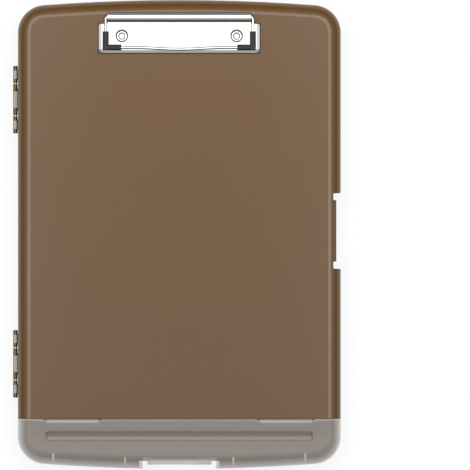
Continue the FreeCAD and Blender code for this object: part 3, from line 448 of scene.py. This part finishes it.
@dataclass(frozen=True)
class MouldedPolypropylene:
    """Opaque injection-moulded polypropylene, as on the tray and the cover.

    The eye gets a warm brown with a broad soft sheen, a fine matt grain from the mould, a slight
    mottle where the colour masterbatch mixed unevenly, painted greyer shade towards the foot and a
    painted greyer sheen towards the sides. The hinge knuckles have painted highlights along their
    crowns with painted shade on the flanks beside them, and a painted shadow rings the clip's plate
    and its rolled edge on the cover.
    """

    name: str = "moulded_polypropylene_taupe"
    browns: tuple[str, str] = ("#5D3D12", "#5A3A10")
    mottle_mm: float = 60.0
    mottle_detail: float = 2.0
    # Painted shade: the brown turns darker and greyer towards the foot.
    foot: str = "#5A3F22"
    foot_shade_fade_mm: Span = (110.0, -130.0)
    # Painted sheen: a greyer, paler brown fades in towards the sides.
    side: str = "#5C4222"
    side_sheen_fade_mm: Span = (60.0, 100.0)
    side_sheen_share: float = 0.7
    sheen_tint: str = "#FFFBF3"
    roughness: float = 0.2
    ior: float = 1.49
    # A spark-eroded mould leaves a grain of about 0.1 mm, too fine to show, so it is coarser here.
    grain: Grain = Grain(width_mm=0.9, depth_mm=0.02, strength=0.25)
    # Painted shade on the knuckle flanks next to the case wall, where shade falls.
    flank_shade: str = "#20160A"
    flank_shade_span_mm: Span = (-120.8, -119.6)
    flank_shade_places_mm: tuple[Span, ...] = ((72.0, 127.0), (-124.0, -69.0))
    # Painted shadow round the clip's plate and behind its rolled edge, on the cover's face.
    line: str = "#33240F"
    plate_shadow_level_mm: Span = (27.7, 28.3)
    plate_shadow_boxes_mm: tuple[Box, ...] = (
        ((-60.45, 60.45), (133.3, 156.5)), ((-53.6, 53.6), (156.0, 164.6)),
    )
    # Painted highlight along the top of each hinge knuckle.
    knuckle_highlight: str = "#A4978E"
    knuckle_highlight_span_mm: Span = (-122.7, -119.9)
    knuckle_highlight_places_mm: tuple[Span, ...] = (
        (115.3, 121.5), (93.7, 105.9), (78.1, 84.3),
        (-80.3, -74.1), (-101.9, -89.7), (-117.5, -111.3),
    )

    def make(self) -> bpy.types.Material:
        """Build the material.

        Returns:
            The material.
        """
        material, tree = new_material(self.name)
        place, lengths = split_place(tree)
        _, normal = self.grain.add(tree, place)
        shader = add_node(
            tree, "ShaderNodeBsdfPrincipled", Base_Color=self.colour(tree, place, lengths),
            Normal=normal, Roughness=self.roughness, IOR=self.ior,
            Specular_Tint=linear(self.sheen_tint),
        )
        add_node(tree, "ShaderNodeOutputMaterial", Surface=shader.outputs["BSDF"])
        return material

    def colour(self, tree: Tree, place: Socket, lengths: Sequence[Socket]) -> Socket:
        """Brown of the surface, place by place.

        Args:
            tree: The material's node tree.
            place: Socket of the place on the piece.
            lengths: Sockets of its lengths across, along and up.

        Returns:
            The colour's socket.
        """
        across, along, _ = lengths
        mottle = add_node(
            tree, "ShaderNodeTexNoise", Vector=place, Scale=1 / (self.mottle_mm * MM),
            Detail=self.mottle_detail,
        )
        # Painted shade, darker and greyer towards the foot.
        foot = add_node(tree, "ShaderNodeMapRange", Value=along, **from_to(self.foot_shade_fade_mm))
        # Painted sheen towards the sides.
        aside = add_node(tree, "ShaderNodeMath", {"operation": "ABSOLUTE"}, _0=across)
        side = add_node(
            tree, "ShaderNodeMapRange", Value=aside.outputs["Value"], To_Max=self.side_sheen_share,
            **from_to(self.side_sheen_fade_mm),
        )
        layers = [
            (self.browns[1], mottle.outputs["Fac"]), (self.foot, foot.outputs["Result"]),
            (self.side, side.outputs["Result"]),
        ]
        # Painted shade on the knuckle flanks.
        for ends in self.flank_shade_places_mm:
            mask = within(tree, (across, self.flank_shade_span_mm), (along, ends))
            layers.append((self.flank_shade, mask))
        # Painted shadow round the clip's plate and its rolled edge.
        for box in self.plate_shadow_boxes_mm:
            layers.append((self.line, within(tree, *zip(lengths, (*box, self.plate_shadow_level_mm)))))
        # Painted highlights on the knuckles, over all else.
        for ends in self.knuckle_highlight_places_mm:
            mask = within(tree, (across, self.knuckle_highlight_span_mm), (along, ends))
            layers.append((self.knuckle_highlight, mask))
        return paint(tree, self.browns[0], layers)


@dataclass(frozen=True)
class FrostedPolypropylene:
    """Unpigmented polypropylene with a frosted face, as on the pen lid.

    The eye gets a milky grey veil over the dark inside, with painted light that makes it paler
    where the wall turns away. It is paler where backed by a rib, a barrel or the notch wall, has
    painted shade on its level face, most towards the foot, and painted shade down the near side
    of the channel with painted highlights along its edges.
    """

    name: str = "frosted_polypropylene"
    # Painted light: the veil turns paler the more the wall turns away from level.
    veil_light_by_tilt: Stops = (
        (0.0, "#F0EFED"), (0.39, "#E2E0DE"), (0.54, "#D2CFCD"), (0.72, "#BBB5B2"),
        (0.9, "#9E958D"), (1.0, "#9A918A"),
    )
    # Painted shade on the level face, by place along it: darker at its head end, darkest at its
    # foot end.
    level_tilt: float = 0.9
    level_shade_span_mm: Span = (-137.0, -167.0)
    veil_shade_by_place: Stops = (
        (0.0, "#938A83"), (0.3, "#938A83"), (0.52, "#98908A"), (0.8, "#98908A"), (1.0, "#8D847D"),
    )
    channel_ends_mm: Span = (-98.8, 98.8)
    channel_span_mm: Span = (-152.9, -145.3)
    # Painted shade and painted highlights across the channel, from its foot edge to its head edge.
    channel_shade_by_place: Stops = (
        (0.0, "#A39B94"), (0.08, "#8C847D"), (0.12, "#9D948D"), (0.42, "#9A918A"),
        (0.55, "#7A6F65"), (0.8, "#857B72"), (0.92, "#A59C94"), (1.0, "#ABA29A"),
    )
    # Barrels, inner ribs, outer ribs, the wall of the finger notch, and the seam's outer ends.
    backed_mm: tuple[tuple[str, Box], ...] = (
        ("#B9B4B0", ((59.6, 98.0), (-139.4, -136.0))),
        ("#DEDCDA", ((39.4, 40.6), (-170.6, -164.6))),
        ("#DEDCDA", ((92.6, 93.8), (-167.7, -161.7))),
        ("#F6F5F4", ((-1.0, 29.6), (-173.0, -167.4))),
        ("#DEDCDA", ((98.5, 119.0), (-137.3, -136.0))),
    )
    clear_tint: str = "#F4F3F1"
    clear_level: float = 0.45
    clear_edge: float = 0.05
    roughness: float = 0.3
    ior: float = 1.49
    # Frosting is about 0.05 mm fine. It is drawn coarser, or it wouldn't show.
    grain: Grain = Grain(width_mm=1.1, depth_mm=0.02, strength=0.2)

    def make(self) -> bpy.types.Material:
        """Build the material.

        Returns:
            The material.
        """
        material, tree = new_material(self.name)
        place, lengths = split_place(tree)
        level = tilt(tree)
        _, normal = self.grain.add(tree, place)
        veil = add_node(
            tree, "ShaderNodeBsdfPrincipled", Base_Color=self.colour(tree, lengths, level),
            Normal=normal, Roughness=self.roughness, IOR=self.ior,
        )
        clear = add_node(tree, "ShaderNodeBsdfTransparent", Color=linear(self.clear_tint))
        share = add_node(
            tree, "ShaderNodeMapRange", Value=level, To_Min=self.clear_edge,
            To_Max=self.clear_level,
        )
        mix = add_node(
            tree, "ShaderNodeMixShader", Fac=share.outputs["Result"], _1=veil.outputs["BSDF"],
            _2=clear.outputs["BSDF"],
        )
        add_node(tree, "ShaderNodeOutputMaterial", Surface=mix.outputs["Shader"])
        return material

    def colour(self, tree: Tree, lengths: Sequence[Socket], level: Socket) -> Socket:
        """Colour of the veil, by tilt and by place.

        Args:
            tree: The material's node tree.
            lengths: Sockets of the place's lengths across, along and up.
            level: Socket of the tilt.

        Returns:
            The colour's socket.
        """
        along = lengths[1]
        aside = add_node(tree, "ShaderNodeMath", {"operation": "ABSOLUTE"}, _0=lengths[0])
        across = aside.outputs["Value"]
        # Mask of the level face, which takes the painted shade.
        flat = add_node(
            tree, "ShaderNodeMath", {"operation": "GREATER_THAN"}, _0=level, _1=self.level_tilt,
        )
        shares = [level]
        for span in (self.level_shade_span_mm, self.channel_span_mm):
            share = add_node(tree, "ShaderNodeMapRange", Value=along, **from_to(span))
            shares.append(share.outputs["Result"])
        # Painted light by tilt, and painted shade by place on the level face and across the
        # channel.
        veil, shade, channel = (
            add_node(tree, "ShaderNodeValToRGB", {"stops": stops}, Fac=share).outputs["Color"]
            for stops, share in zip(
                (self.veil_light_by_tilt, self.veil_shade_by_place, self.channel_shade_by_place), shares
            )
        )
        # The channel's painted shade and highlights go on inside its ends.
        pressed = within(tree, (across, self.channel_ends_mm), (along, self.channel_span_mm))
        layers = [(shade, flat.outputs["Value"]), (channel, pressed)]
        for code, box in self.backed_mm:
            layers.append((code, within(tree, *zip((across, along), box))))
        return paint(tree, veil, layers)


@dataclass(frozen=True)
class NickelPlatedSteel:
    """Pressed or drawn steel with bright nickel plate, as on the clip, the rivets and the pins.

    The eye gets a near mirror with a slight haze and very faint drawing lines along the metal. It
    has painted shade on cut edges and steep flanks, and a painted shadow round each rivet's rim on
    the plate's face.
    """

    name: str = "nickel_plated_steel"
    # Painted shade: the metal turns dark on steep faces and cut edges.
    metal_shade_by_tilt: Stops = (
        (0.0, "#3A3836"), (0.55, "#454341"), (0.8, "#DCDBD8"), (1.0, "#DCDBD8"),
    )
    roughness: float = 0.14
    # Drawing lines are about 0.05 mm apart. They are drawn further apart, or they wouldn't show,
    # and run across the clip, fifty times as long as they are wide.
    lines: Grain = Grain(width_mm=0.35, depth_mm=0.004, strength=0.15)
    line_scale: tuple[float, float, float] = (0.02, 1.0, 1.0)
    # Painted shadow round each rivet's rim on the plate.
    rivet_shadow: str = "#504E4C"
    # The painted shadow shows most at the head side of the rim, so its ring is set off that way.
    rivet_shadow_level_mm: Span = (29.95, 30.05)
    rivet_shadow_middle_mm: Span = (42.4, 146.95)
    rivet_shadow_ring_mm: Span = (4.02, 4.62)

    def make(self) -> bpy.types.Material:
        """Build the material.

        Returns:
            The material.
        """
        material, tree = new_material(self.name)
        place, lengths = split_place(tree)
        # Painted shade on steep faces, by tilt.
        bright = add_node(tree, "ShaderNodeValToRGB", {"stops": self.metal_shade_by_tilt}, Fac=tilt(tree))
        # Painted shadow round the rivets.
        rivet_shadows = [(self.rivet_shadow, self.mark_rivet_shadows(tree, lengths))]
        drawn = add_node(tree, "ShaderNodeMapping", Vector=place, Scale=self.line_scale)
        _, normal = self.lines.add(tree, drawn.outputs["Vector"])
        shader = add_node(
            tree, "ShaderNodeBsdfPrincipled", Normal=normal, Metallic=1.0,
            Base_Color=paint(tree, bright.outputs["Color"], rivet_shadows), Roughness=self.roughness,
        )
        add_node(tree, "ShaderNodeOutputMaterial", Surface=shader.outputs["BSDF"])
        return material

    def mark_rivet_shadows(self, tree: Tree, lengths: Sequence[Socket]) -> Socket:
        """Painted shadow on the plate's face round each rivet's rim.

        Args:
            tree: The material's node tree.
            lengths: Sockets of the place's lengths across, along and up.

        Returns:
            The line's mask.
        """
        across, along, up = lengths
        middle = (self.rivet_shadow_middle_mm[0] * MM, self.rivet_shadow_middle_mm[1] * MM, 0.0)
        aside = add_node(tree, "ShaderNodeMath", {"operation": "ABSOLUTE"}, _0=across)
        spot = add_node(tree, "ShaderNodeCombineXYZ", X=aside.outputs["Value"], Y=along)
        reach = add_node(
            tree, "ShaderNodeVectorMath", {"operation": "DISTANCE"}, _0=spot.outputs["Vector"],
            _1=middle,
        )
        return within(
            tree, (reach.outputs["Value"], self.rivet_shadow_ring_mm), (up, self.rivet_shadow_level_mm),
        )


@dataclass(frozen=True)
class MattRubber:
    """Moulded black rubber, as on the bail's corners.

    The eye gets a dull charcoal with a soft grey bloom.
    """

    name: str = "matt_black_rubber"
    blacks: tuple[str, str] = ("#191A1C", "#242527")
    roughness: float = 0.62
    ior: float = 1.45
    bloom: Grain = Grain(width_mm=2.5, depth_mm=0.02, strength=0.3, detail=3.0)

    def make(self) -> bpy.types.Material:
        """Build the material.

        Returns:
            The material.
        """
        material, tree = new_material(self.name)
        place, _ = split_place(tree)
        height, normal = self.bloom.add(tree, place)
        shader = add_node(
            tree, "ShaderNodeBsdfPrincipled", Normal=normal, Roughness=self.roughness,
            Base_Color=paint(tree, self.blacks[0], [(self.blacks[1], height)]), IOR=self.ior,
        )
        add_node(tree, "ShaderNodeOutputMaterial", Surface=shader.outputs["BSDF"])
        return material


@dataclass
class CadDressing:
    """The CAD nodes that keep their own mesh, each with its finish."""

    case: MouldedPolypropylene = field(default_factory=MouldedPolypropylene)
    lid: FrostedPolypropylene = field(default_factory=FrostedPolypropylene)
    nickel: NickelPlatedSteel = field(default_factory=NickelPlatedSteel)
    rubber: MattRubber = field(default_factory=MattRubber)

    def build(self) -> None:
        """Dress every node that the frame holds."""
        finishes = {
            "base_shell": self.case, "front_cover": self.case, "pen_lid": self.lid,
            "left_corner_sleeve": self.rubber, "right_corner_sleeve": self.rubber,
        }
        made: dict[str, bpy.types.Material] = {}
        for name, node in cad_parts.items():
            finish = finishes.get(name, self.nickel)
            if finish.name not in made:
                made[finish.name] = finish.make()
            dress(node, made[finish.name])
            LOG.info("%s wears %s", name, finish.name)


@dataclass
class SpringClip:
    """Low-profile spring clip: plate with a rolled edge, wire bail, rubber corners and rivets."""

    plate_width: float = 119.9
    plate_front: float = 133.8
    plate_back: float = 155.7
    board_level: float = 28.0
    plate_level: float = 30.0
    sheet: float = 0.8
    sheet_edge_radius: float = 0.12
    sheet_edge_degrees: float = 50.0
    sheet_smooth_degrees: float = 18.0
    corner_radius: float = 4.3
    flange_run: float = 2.8
    flange_spare: float = 0.33
    flange_blank: float = 3.0
    back_corner: float = 1.5
    curl_half: float = 53.2
    curl_place: float = 160.65
    curl_radius: float = 3.2
    curl_degrees: float = 305.0
    curl_steps: int = 30
    curl_stretch: Span = (1.21, 1.03)
    wire_radius: float = 1.05
    wire_facets: int = 12
    leg_place: float = 54.4
    run_place: float = 138.15
    hidden_end: float = 14.0
    bend_radius: float = 2.0
    bend_degrees: float = 135.0
    bow_depth: float = 1.3
    bow_half: float = 34.0
    bow_setback: float = 10.0
    bow_step: float = 2.4
    bow_points: int = 38
    wire_smooth_degrees: float = 45.0
    sleeve_radius: float = 2.2
    sleeve_side_arm: float = 14.1
    sleeve_front_arm: float = 13.7
    sleeve_edge_radius: float = 0.25
    sleeve_edge_degrees: float = 60.0
    sleeve_smooth_degrees: float = 40.0
    rivet_side: float = 42.4
    rivet_place: float = 146.5
    rivet_smooth_degrees: float = 40.0
    # Radius and height over the plate: bore, dished middle, rounded rim, shank, and the end that
    # is rolled inside the cover.
    rivet_profile: tuple[Span, ...] = (
        (1.7, -5.9), (1.7, -0.9), (1.75, -0.3), (1.9, 0.1), (2.15, 0.25), (2.35, 0.35),
        (2.5, 0.7), (2.75, 0.95), (3.1, 1.0), (3.45, 0.96), (3.8, 0.78), (4.15, 0.4),
        (4.4, 0.0), (2.4, 0.0), (2.4, -5.0), (3.7, -5.0), (3.7, -5.6), (3.3, -5.9),
    )
    nickel: NickelPlatedSteel = field(default_factory=NickelPlatedSteel)
    rubber: MattRubber = field(default_factory=MattRubber)

    @property
    def wire_level(self) -> float:
        """Height of the wire and of the rolled edge's axis."""
        return self.plate_level - self.sheet + self.curl_radius

    def build(self) -> None:
        """Model every piece of the clip and hang it on its body."""
        nickel, rubber = self.nickel.make(), self.rubber.make()
        self.hang(self.build_plate(), nickel, "cover", "clip_plate")
        self.hang(self.build_wire(), nickel, "bail", "clip_bail")
        for side in Side:
            sleeve, rivet = self.build_sleeve(side), self.build_rivet(side)
            self.hang(sleeve, rubber, "bail", f"{side.label}_corner_sleeve")
            self.hang(rivet, nickel, "cover", f"{side.label}_rivet")

    def hang(
        self, piece: bpy.types.Object, material: bpy.types.Material, body: str, node: str,
    ) -> None:
        """Dress a piece, let it ride on its body and take the place of its CAD node.

        Args:
            piece: The modelled piece.
            material: Its finish.
            body: The moving body that carries it.
            node: The CAD node that it stands for.
        """
        dress(piece, material)
        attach(piece, body)
        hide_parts(node)
        LOG.info("%s modelled with %d faces", piece.name, len(piece.data.polygons))

    def build_plate(self) -> bpy.types.Object:
        """Pressed plate: a rounded flange on three sides, and the back rolled round the wire.

        Returns:
            The plate.
        """
        plate = self.press_blank()
        self.trim_blank()
        self.roll_back(plate)
        if faces_down(plate):
            flip(plate)
        modify(plate, "SOLIDIFY", thickness=self.sheet * MM, offset=-1.0)
        round_edges(plate, self.sheet_edge_radius, self.sheet_edge_degrees)
        smooth(plate, self.sheet_smooth_degrees)
        return plate

    def press_blank(self) -> bpy.types.Object:
        """Skin of the plate's face and its flanges, left in edit mode.

        Returns:
            The blank.
        """
        width = self.plate_width + 2 * self.flange_spare
        length = self.plate_back - self.plate_front + self.flange_spare
        front, back = (self.plate_front - self.flange_spare) * MM, self.plate_back * MM
        top = self.plate_level * MM
        bpy.ops.mesh.primitive_cube_add(size=1.0)
        plate = start_edit("clip_plate_pressed")
        bpy.ops.transform.resize(value=(width * MM, length * MM, self.flange_blank * MM))
        bpy.ops.transform.translate(
            value=(0.0, back - length / 2 * MM, top - self.flange_blank / 2 * MM)
        )
        pick_edges(plate, lambda a, b: same(a.y, front) and same(b.y, front) and same(a.x, b.x))
        bpy.ops.mesh.bevel(offset=self.corner_radius * MM, segments=BEND_STEPS, affect="EDGES")
        pick_edges(
            plate,
            lambda a, b: same(a.z, top) and same(b.z, top)
            and not (same(a.y, back) and same(b.y, back)),
        )
        bpy.ops.mesh.bevel(
            offset=self.flange_run * MM, segments=EDGE_STEPS, profile=0.5, affect="EDGES",
        )
        pick_faces(
            plate,
            lambda face: abs(face.normal.z + 1) < SQUARE or abs(face.normal.y - 1) < SQUARE,
        )
        bpy.ops.mesh.delete(type="FACE")
        return plate

    def trim_blank(self) -> None:
        """Cut the flanges at the board, take off the back corners, and mark the roll's ends."""
        board = (0, 0, self.board_level * MM)
        select_all()
        bpy.ops.mesh.bisect(plane_co=board, plane_no=(0, 0, 1), clear_inner=True)
        for side in Side:
            corner = side.value * (self.plate_width / 2 - self.back_corner) * MM
            select_all()
            bpy.ops.mesh.bisect(
                plane_co=(corner, self.plate_back * MM, 0), plane_no=(side.value, 1, 0),
                clear_outer=True,
            )
            select_all()
            bpy.ops.mesh.bisect(
                plane_co=(side.value * self.curl_half * MM, 0, 0), plane_no=(1, 0, 0),
            )

    def roll_back(self, plate: bpy.types.Object) -> None:
        """Roll the back edge round the wire, a little flatter than round.

        Args:
            plate: The trimmed blank, in edit mode.
        """
        back, top, half = self.plate_back * MM, self.plate_level * MM, self.curl_half * MM
        axis, radius, level = self.curl_place * MM, self.curl_radius * MM, self.wire_level * MM
        pick_edges(
            plate,
            lambda a, b: all(
                same(end.y, back) and same(end.z, top) and abs(end.x) < half + SAME
                for end in (a, b)
            ),
        )
        bpy.ops.mesh.extrude_region_move(TRANSFORM_OT_translate={"value": (0, axis - back, 0)})
        bpy.ops.mesh.spin(
            steps=self.curl_steps, angle=math.radians(-self.curl_degrees), axis=(1, 0, 0),
            center=(0, axis, level),
        )
        close_up()
        sides = ((axis - radius, axis), (axis, axis + radius))
        for (low, high), stretch in zip(sides, self.curl_stretch):
            stop_edit(plate)
            ends = list(plate.data.vertices)
            pick(plate, "VERT", ends, [low - SAME < end.co.y < high + SAME for end in ends])
            bpy.ops.transform.resize(value=(1, stretch, 1), center_override=(0, axis, level))
        stop_edit(plate)

    def build_wire(self) -> bpy.types.Object:
        """Sprung wire: two legs, the bowed front run, and the ends that lie in the roll.

        Returns:
            The wire.
        """
        leg, end = self.leg_place, self.leg_place - self.hidden_end
        start = leg - self.bow_setback
        bowed = [start - self.bow_step * step for step in range(self.bow_points)]
        points = [(end, self.curl_place), (leg, self.curl_place), (leg, self.run_place)]
        points += [(place, self.bow_at(place)) for place in bowed]
        points += [(-leg, self.run_place), (-leg, self.curl_place), (-end, self.curl_place)]
        return self.draw_bar("clip_bail_wire", points)

    def bow_at(self, place: float) -> float:
        """Where the front run lies at a place: it bows towards the foot in its middle."""
        share = min(abs(place) / self.bow_half, 1.0)
        return self.run_place - self.bow_depth * (0.5 + 0.5 * math.cos(math.pi * share))

    def draw_bar(self, name: str, points: Sequence[Span]) -> bpy.types.Object:
        """Round bar along a flat path at the wire's height.

        Args:
            name: The piece's name.
            points: Corners of the path, in millimetres.

        Returns:
            The bar as a mesh.
        """
        bpy.ops.mesh.primitive_plane_add(size=MM)
        bar = start_edit(name)
        bpy.ops.mesh.select_mode(type="VERT")
        select_all()
        bpy.ops.mesh.merge(type="CENTER")
        x, y = points[0]
        bpy.ops.transform.translate(value=(x * MM, y * MM, self.wire_level * MM))
        for (x0, y0), (x1, y1) in zip(points, points[1:]):
            step = {"value": ((x1 - x0) * MM, (y1 - y0) * MM, 0)}
            bpy.ops.mesh.extrude_region_move(TRANSFORM_OT_translate=step)
        stop_edit(bar)
        ends = list(bar.data.vertices)
        pick(bar, "VERT", ends, [self.is_bend(bar, end.index) for end in ends])
        bpy.ops.mesh.bevel(offset=self.bend_radius * MM, segments=BEND_STEPS, affect="VERTICES")
        stop_edit(bar)
        bpy.ops.object.convert(target="CURVE")
        curve = bpy.context.object.data
        curve.bevel_depth = self.wire_radius * MM
        curve.bevel_resolution = self.wire_facets
        curve.use_fill_caps = True
        bpy.ops.object.convert(target="MESH")
        bar = bpy.context.object
        smooth(bar, self.wire_smooth_degrees)
        return bar

    def is_bend(self, bar: bpy.types.Object, index: int) -> bool:
        """Whether the path turns sharply at one of its points.

        Args:
            bar: The path.
            index: The point's number.

        Returns:
            Whether it does.
        """
        ends = [edge for edge in bar.data.edges if index in edge.vertices]
        if len(ends) < 2:
            return False
        here = bar.data.vertices[index].co
        arms = [bar.data.vertices[sum(edge.vertices) - index].co - here for edge in ends]
        return math.degrees(arms[0].angle(arms[1])) < self.bend_degrees

    def build_sleeve(self, side: Side) -> bpy.types.Object:
        """Rubber elbow pushed over a front corner of the wire.

        Args:
            side: Which corner.

        Returns:
            The sleeve.
        """
        front = self.run_place - self.sleeve_radius
        outer = side.value * (self.leg_place + self.sleeve_radius)
        leg_middle = (side.value * self.leg_place, front + self.sleeve_side_arm / 2)
        run_middle = (outer - side.value * self.sleeve_front_arm / 2, self.run_place)
        name = f"{side.label}_rubber_corner"
        sleeve = self.add_rod(name, leg_middle, self.sleeve_side_arm, Run.ALONG)
        arm = self.add_rod("front_arm", run_middle, self.sleeve_front_arm, Run.ACROSS)
        modify(sleeve, "BOOLEAN", operation="UNION", object=arm, solver="EXACT")
        bpy.data.objects.remove(arm)
        round_edges(sleeve, self.sleeve_edge_radius, self.sleeve_edge_degrees)
        smooth(sleeve, self.sleeve_smooth_degrees)
        return sleeve

    def add_rod(self, name: str, middle: Span, length: float, run: Run) -> bpy.types.Object:
        """Straight round rod of rubber at the wire's height.

        Args:
            name: The piece's name.
            middle: Middle of the rod, in millimetres.
            length: Its length, in millimetres.
            run: Which way it lies.

        Returns:
            The rod.
        """
        bpy.ops.mesh.primitive_cylinder_add(
            vertices=ROD_SIDES, radius=self.sleeve_radius * MM, depth=length * MM,
        )
        rod = start_edit(name)
        bpy.ops.transform.rotate(
            value=math.pi / 2, orient_axis=run.value, center_override=(0, 0, 0),
        )
        bpy.ops.transform.translate(
            value=(middle[0] * MM, middle[1] * MM, self.wire_level * MM)
        )
        stop_edit(rod)
        return rod

    def build_rivet(self, side: Side) -> bpy.types.Object:
        """Eyelet rivet: rounded rim, dished middle, shank and the rolled end inside the cover.

        Args:
            side: Which rivet.

        Returns:
            The rivet.
        """
        place = (side.value * self.rivet_side, self.rivet_place)
        profile = tuple((radius, self.plate_level + up) for radius, up in self.rivet_profile)
        rivet = turn(f"{side.label}_eyelet_rivet", place, profile)
        smooth(rivet, self.rivet_smooth_degrees)
        return rivet


@dataclass
class Studio:
    """White table, soft overhead light and the camera straight above the box."""

    table_mm: float = 3000.0
    table_drop_mm: float = 0.05
    table_colour: str = "#F2F2F2"
    table_glow: float = 0.85
    camera_height_mm: float = 8000.0
    view_width_mm: float = 347.8
    view_level_mm: float = 20.0
    aim_mm: Span = (41.2, -0.4)
    sensor_mm: float = 36.0
    clip_m: Span = (0.05, 50.0)
    lamp_height_m: float = 2.0
    ring_inner_m: float = 0.3
    ring_outer_m: float = 1.15
    middle_glow: float = 1.4
    head_glow: float = 4.4
    foot_glow: float = 0.55
    side_glow: float = 4.4
    dome_peak: float = 2.0
    dome_foot_share: float = 0.55
    dome_foot_span: Span = (-0.35, -0.1)
    # Height over the table in degrees, and glow.
    dome_glow: tuple[Span, ...] = (
        (0.0, 0.22), (15.0, 0.16), (30.0, 0.4), (40.0, 0.8), (50.0, 1.1), (57.0, 1.2),
        (63.0, 0.1), (90.0, 0.0),
    )

    def build(self) -> None:
        """Build the table, the lights and the camera."""
        self.build_table()
        self.build_lights()
        self.build_tent()
        self.build_camera()

    def build_table(self) -> None:
        """Pale table that the camera and the metal see white, and that takes the box's shadow."""
        bpy.ops.mesh.primitive_plane_add(
            size=self.table_mm * MM, location=(0, 0, -self.table_drop_mm * MM),
        )
        table = bpy.context.object
        table.name = "table_top"
        material, tree = new_material("matt_white_laminate")
        path = add_node(tree, "ShaderNodeLightPath")
        diffuse = add_node(tree, "ShaderNodeBsdfDiffuse", Color=linear(self.table_colour))
        white = add_node(tree, "ShaderNodeEmission", Color=grey(1.0), Strength=1.0)
        seen = path.outputs["Is Camera Ray"]
        for ray in ("Is Glossy Ray", "Is Transmission Ray"):
            seen = add_node(
                tree, "ShaderNodeMath", {"operation": "MAXIMUM"}, _0=seen, _1=path.outputs[ray],
            ).outputs["Value"]
        share = add_node(
            tree, "ShaderNodeMath", {"operation": "MULTIPLY"}, _0=seen, _1=self.table_glow,
        )
        mix = add_node(
            tree, "ShaderNodeMixShader", Fac=share.outputs["Value"], _1=diffuse.outputs["BSDF"],
            _2=white.outputs["Emission"],
        )
        add_node(tree, "ShaderNodeOutputMaterial", Surface=mix.outputs["Shader"])
        dress(table, material)

    def build_lights(self) -> None:
        """Ring of four softboxes round a dimmer middle panel."""
        inner, outer = self.ring_inner_m, self.ring_outer_m
        reach, width = (inner + outer) / 2, outer - inner
        self.add_softbox("middle_softbox", (0.0, 0.0), (2 * inner, 2 * inner), self.middle_glow)
        self.add_softbox("head_softbox", (0.0, reach), (2 * outer, width), self.head_glow)
        self.add_softbox("foot_softbox", (0.0, -reach), (2 * outer, width), self.foot_glow)
        self.add_softbox("left_softbox", (-reach, 0.0), (width, 2 * inner), self.side_glow)
        self.add_softbox("right_softbox", (reach, 0.0), (width, 2 * inner), self.side_glow)

    def add_softbox(self, name: str, place: Span, size: Span, glow: float) -> None:
        """Rectangular softbox that hangs level over the box.

        Args:
            name: The lamp's name.
            place: Where its middle hangs over the table, in metres.
            size: Width and length, in metres.
            glow: Radiance of its face, where one lights a white card to white.
        """
        data = bpy.data.lights.new(name, "AREA")
        data.shape = "RECTANGLE"
        data.size, data.size_y = size
        data.energy = glow * math.pi * size[0] * size[1]
        lamp = bpy.data.objects.new(name, data)
        bpy.context.scene.collection.objects.link(lamp)
        lamp.location = (*place, self.lamp_height_m)
        lamp.visible_camera = False
        LOG.info("%s glows at %.2f", name, glow)

    def build_tent(self) -> None:
        """Diffusing tent round the softboxes, dim towards the foot, and white to the camera."""
        world = bpy.data.worlds.new("studio_air")
        world.use_nodes = True
        bpy.context.scene.world = world
        tree = world.node_tree
        tree.nodes.clear()
        path = add_node(tree, "ShaderNodeLightPath")
        sky = add_node(tree, "ShaderNodeTexCoord").outputs["Generated"]
        way = add_node(tree, "ShaderNodeSeparateXYZ", Vector=sky)
        start, end = self.dome_foot_span
        dim = add_node(
            tree, "ShaderNodeMapRange", Value=way.outputs["Y"], From_Min=start, From_Max=end,
            To_Min=self.dome_foot_share,
        )
        # The ramp runs over the sine of the height above the table.
        stops = tuple(
            (math.sin(math.radians(height)), grey(glow / self.dome_peak))
            for height, glow in self.dome_glow
        )
        glow = add_node(tree, "ShaderNodeValToRGB", {"stops": stops}, Fac=way.outputs["Z"])
        tent = add_node(
            tree, "ShaderNodeVectorMath", {"operation": "SCALE"}, _0=glow.outputs["Color"],
            Scale=dim.outputs["Result"],
        )
        seen = add_node(
            tree, "ShaderNodeMix", {"data_type": "RGBA"}, _0=path.outputs["Is Camera Ray"],
            _6=tent.outputs["Vector"], _7=grey(1.0 / self.dome_peak),
        )
        air = add_node(
            tree, "ShaderNodeBackground", Color=seen.outputs[2], Strength=self.dome_peak,
        )
        add_node(tree, "ShaderNodeOutputWorld", Surface=air.outputs["Background"])

    def build_camera(self) -> None:
        """Camera that looks straight down, with the photograph's framing."""
        data = bpy.data.cameras.new("overhead_camera")
        camera = bpy.data.objects.new("overhead_camera", data)
        bpy.context.scene.collection.objects.link(camera)
        reach = self.camera_height_mm - self.view_level_mm
        data.sensor_width = self.sensor_mm
        data.lens = self.sensor_mm * reach / self.view_width_mm
        data.clip_start, data.clip_end = self.clip_m
        camera.location = (
            self.aim_mm[0] * MM, self.aim_mm[1] * MM, self.camera_height_mm * MM,
        )
        bpy.context.scene.camera = camera


def main() -> None:
    """Build the finishes, the pieces and the studio."""
    logging.basicConfig(level=logging.INFO, format="%(name)s: %(message)s")
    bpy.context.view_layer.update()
    CadDressing().build()
    SpringClip().build()
    Studio().build()
    bpy.context.scene.view_settings.view_transform = "Standard"


if __name__ == "__main__":
    main()
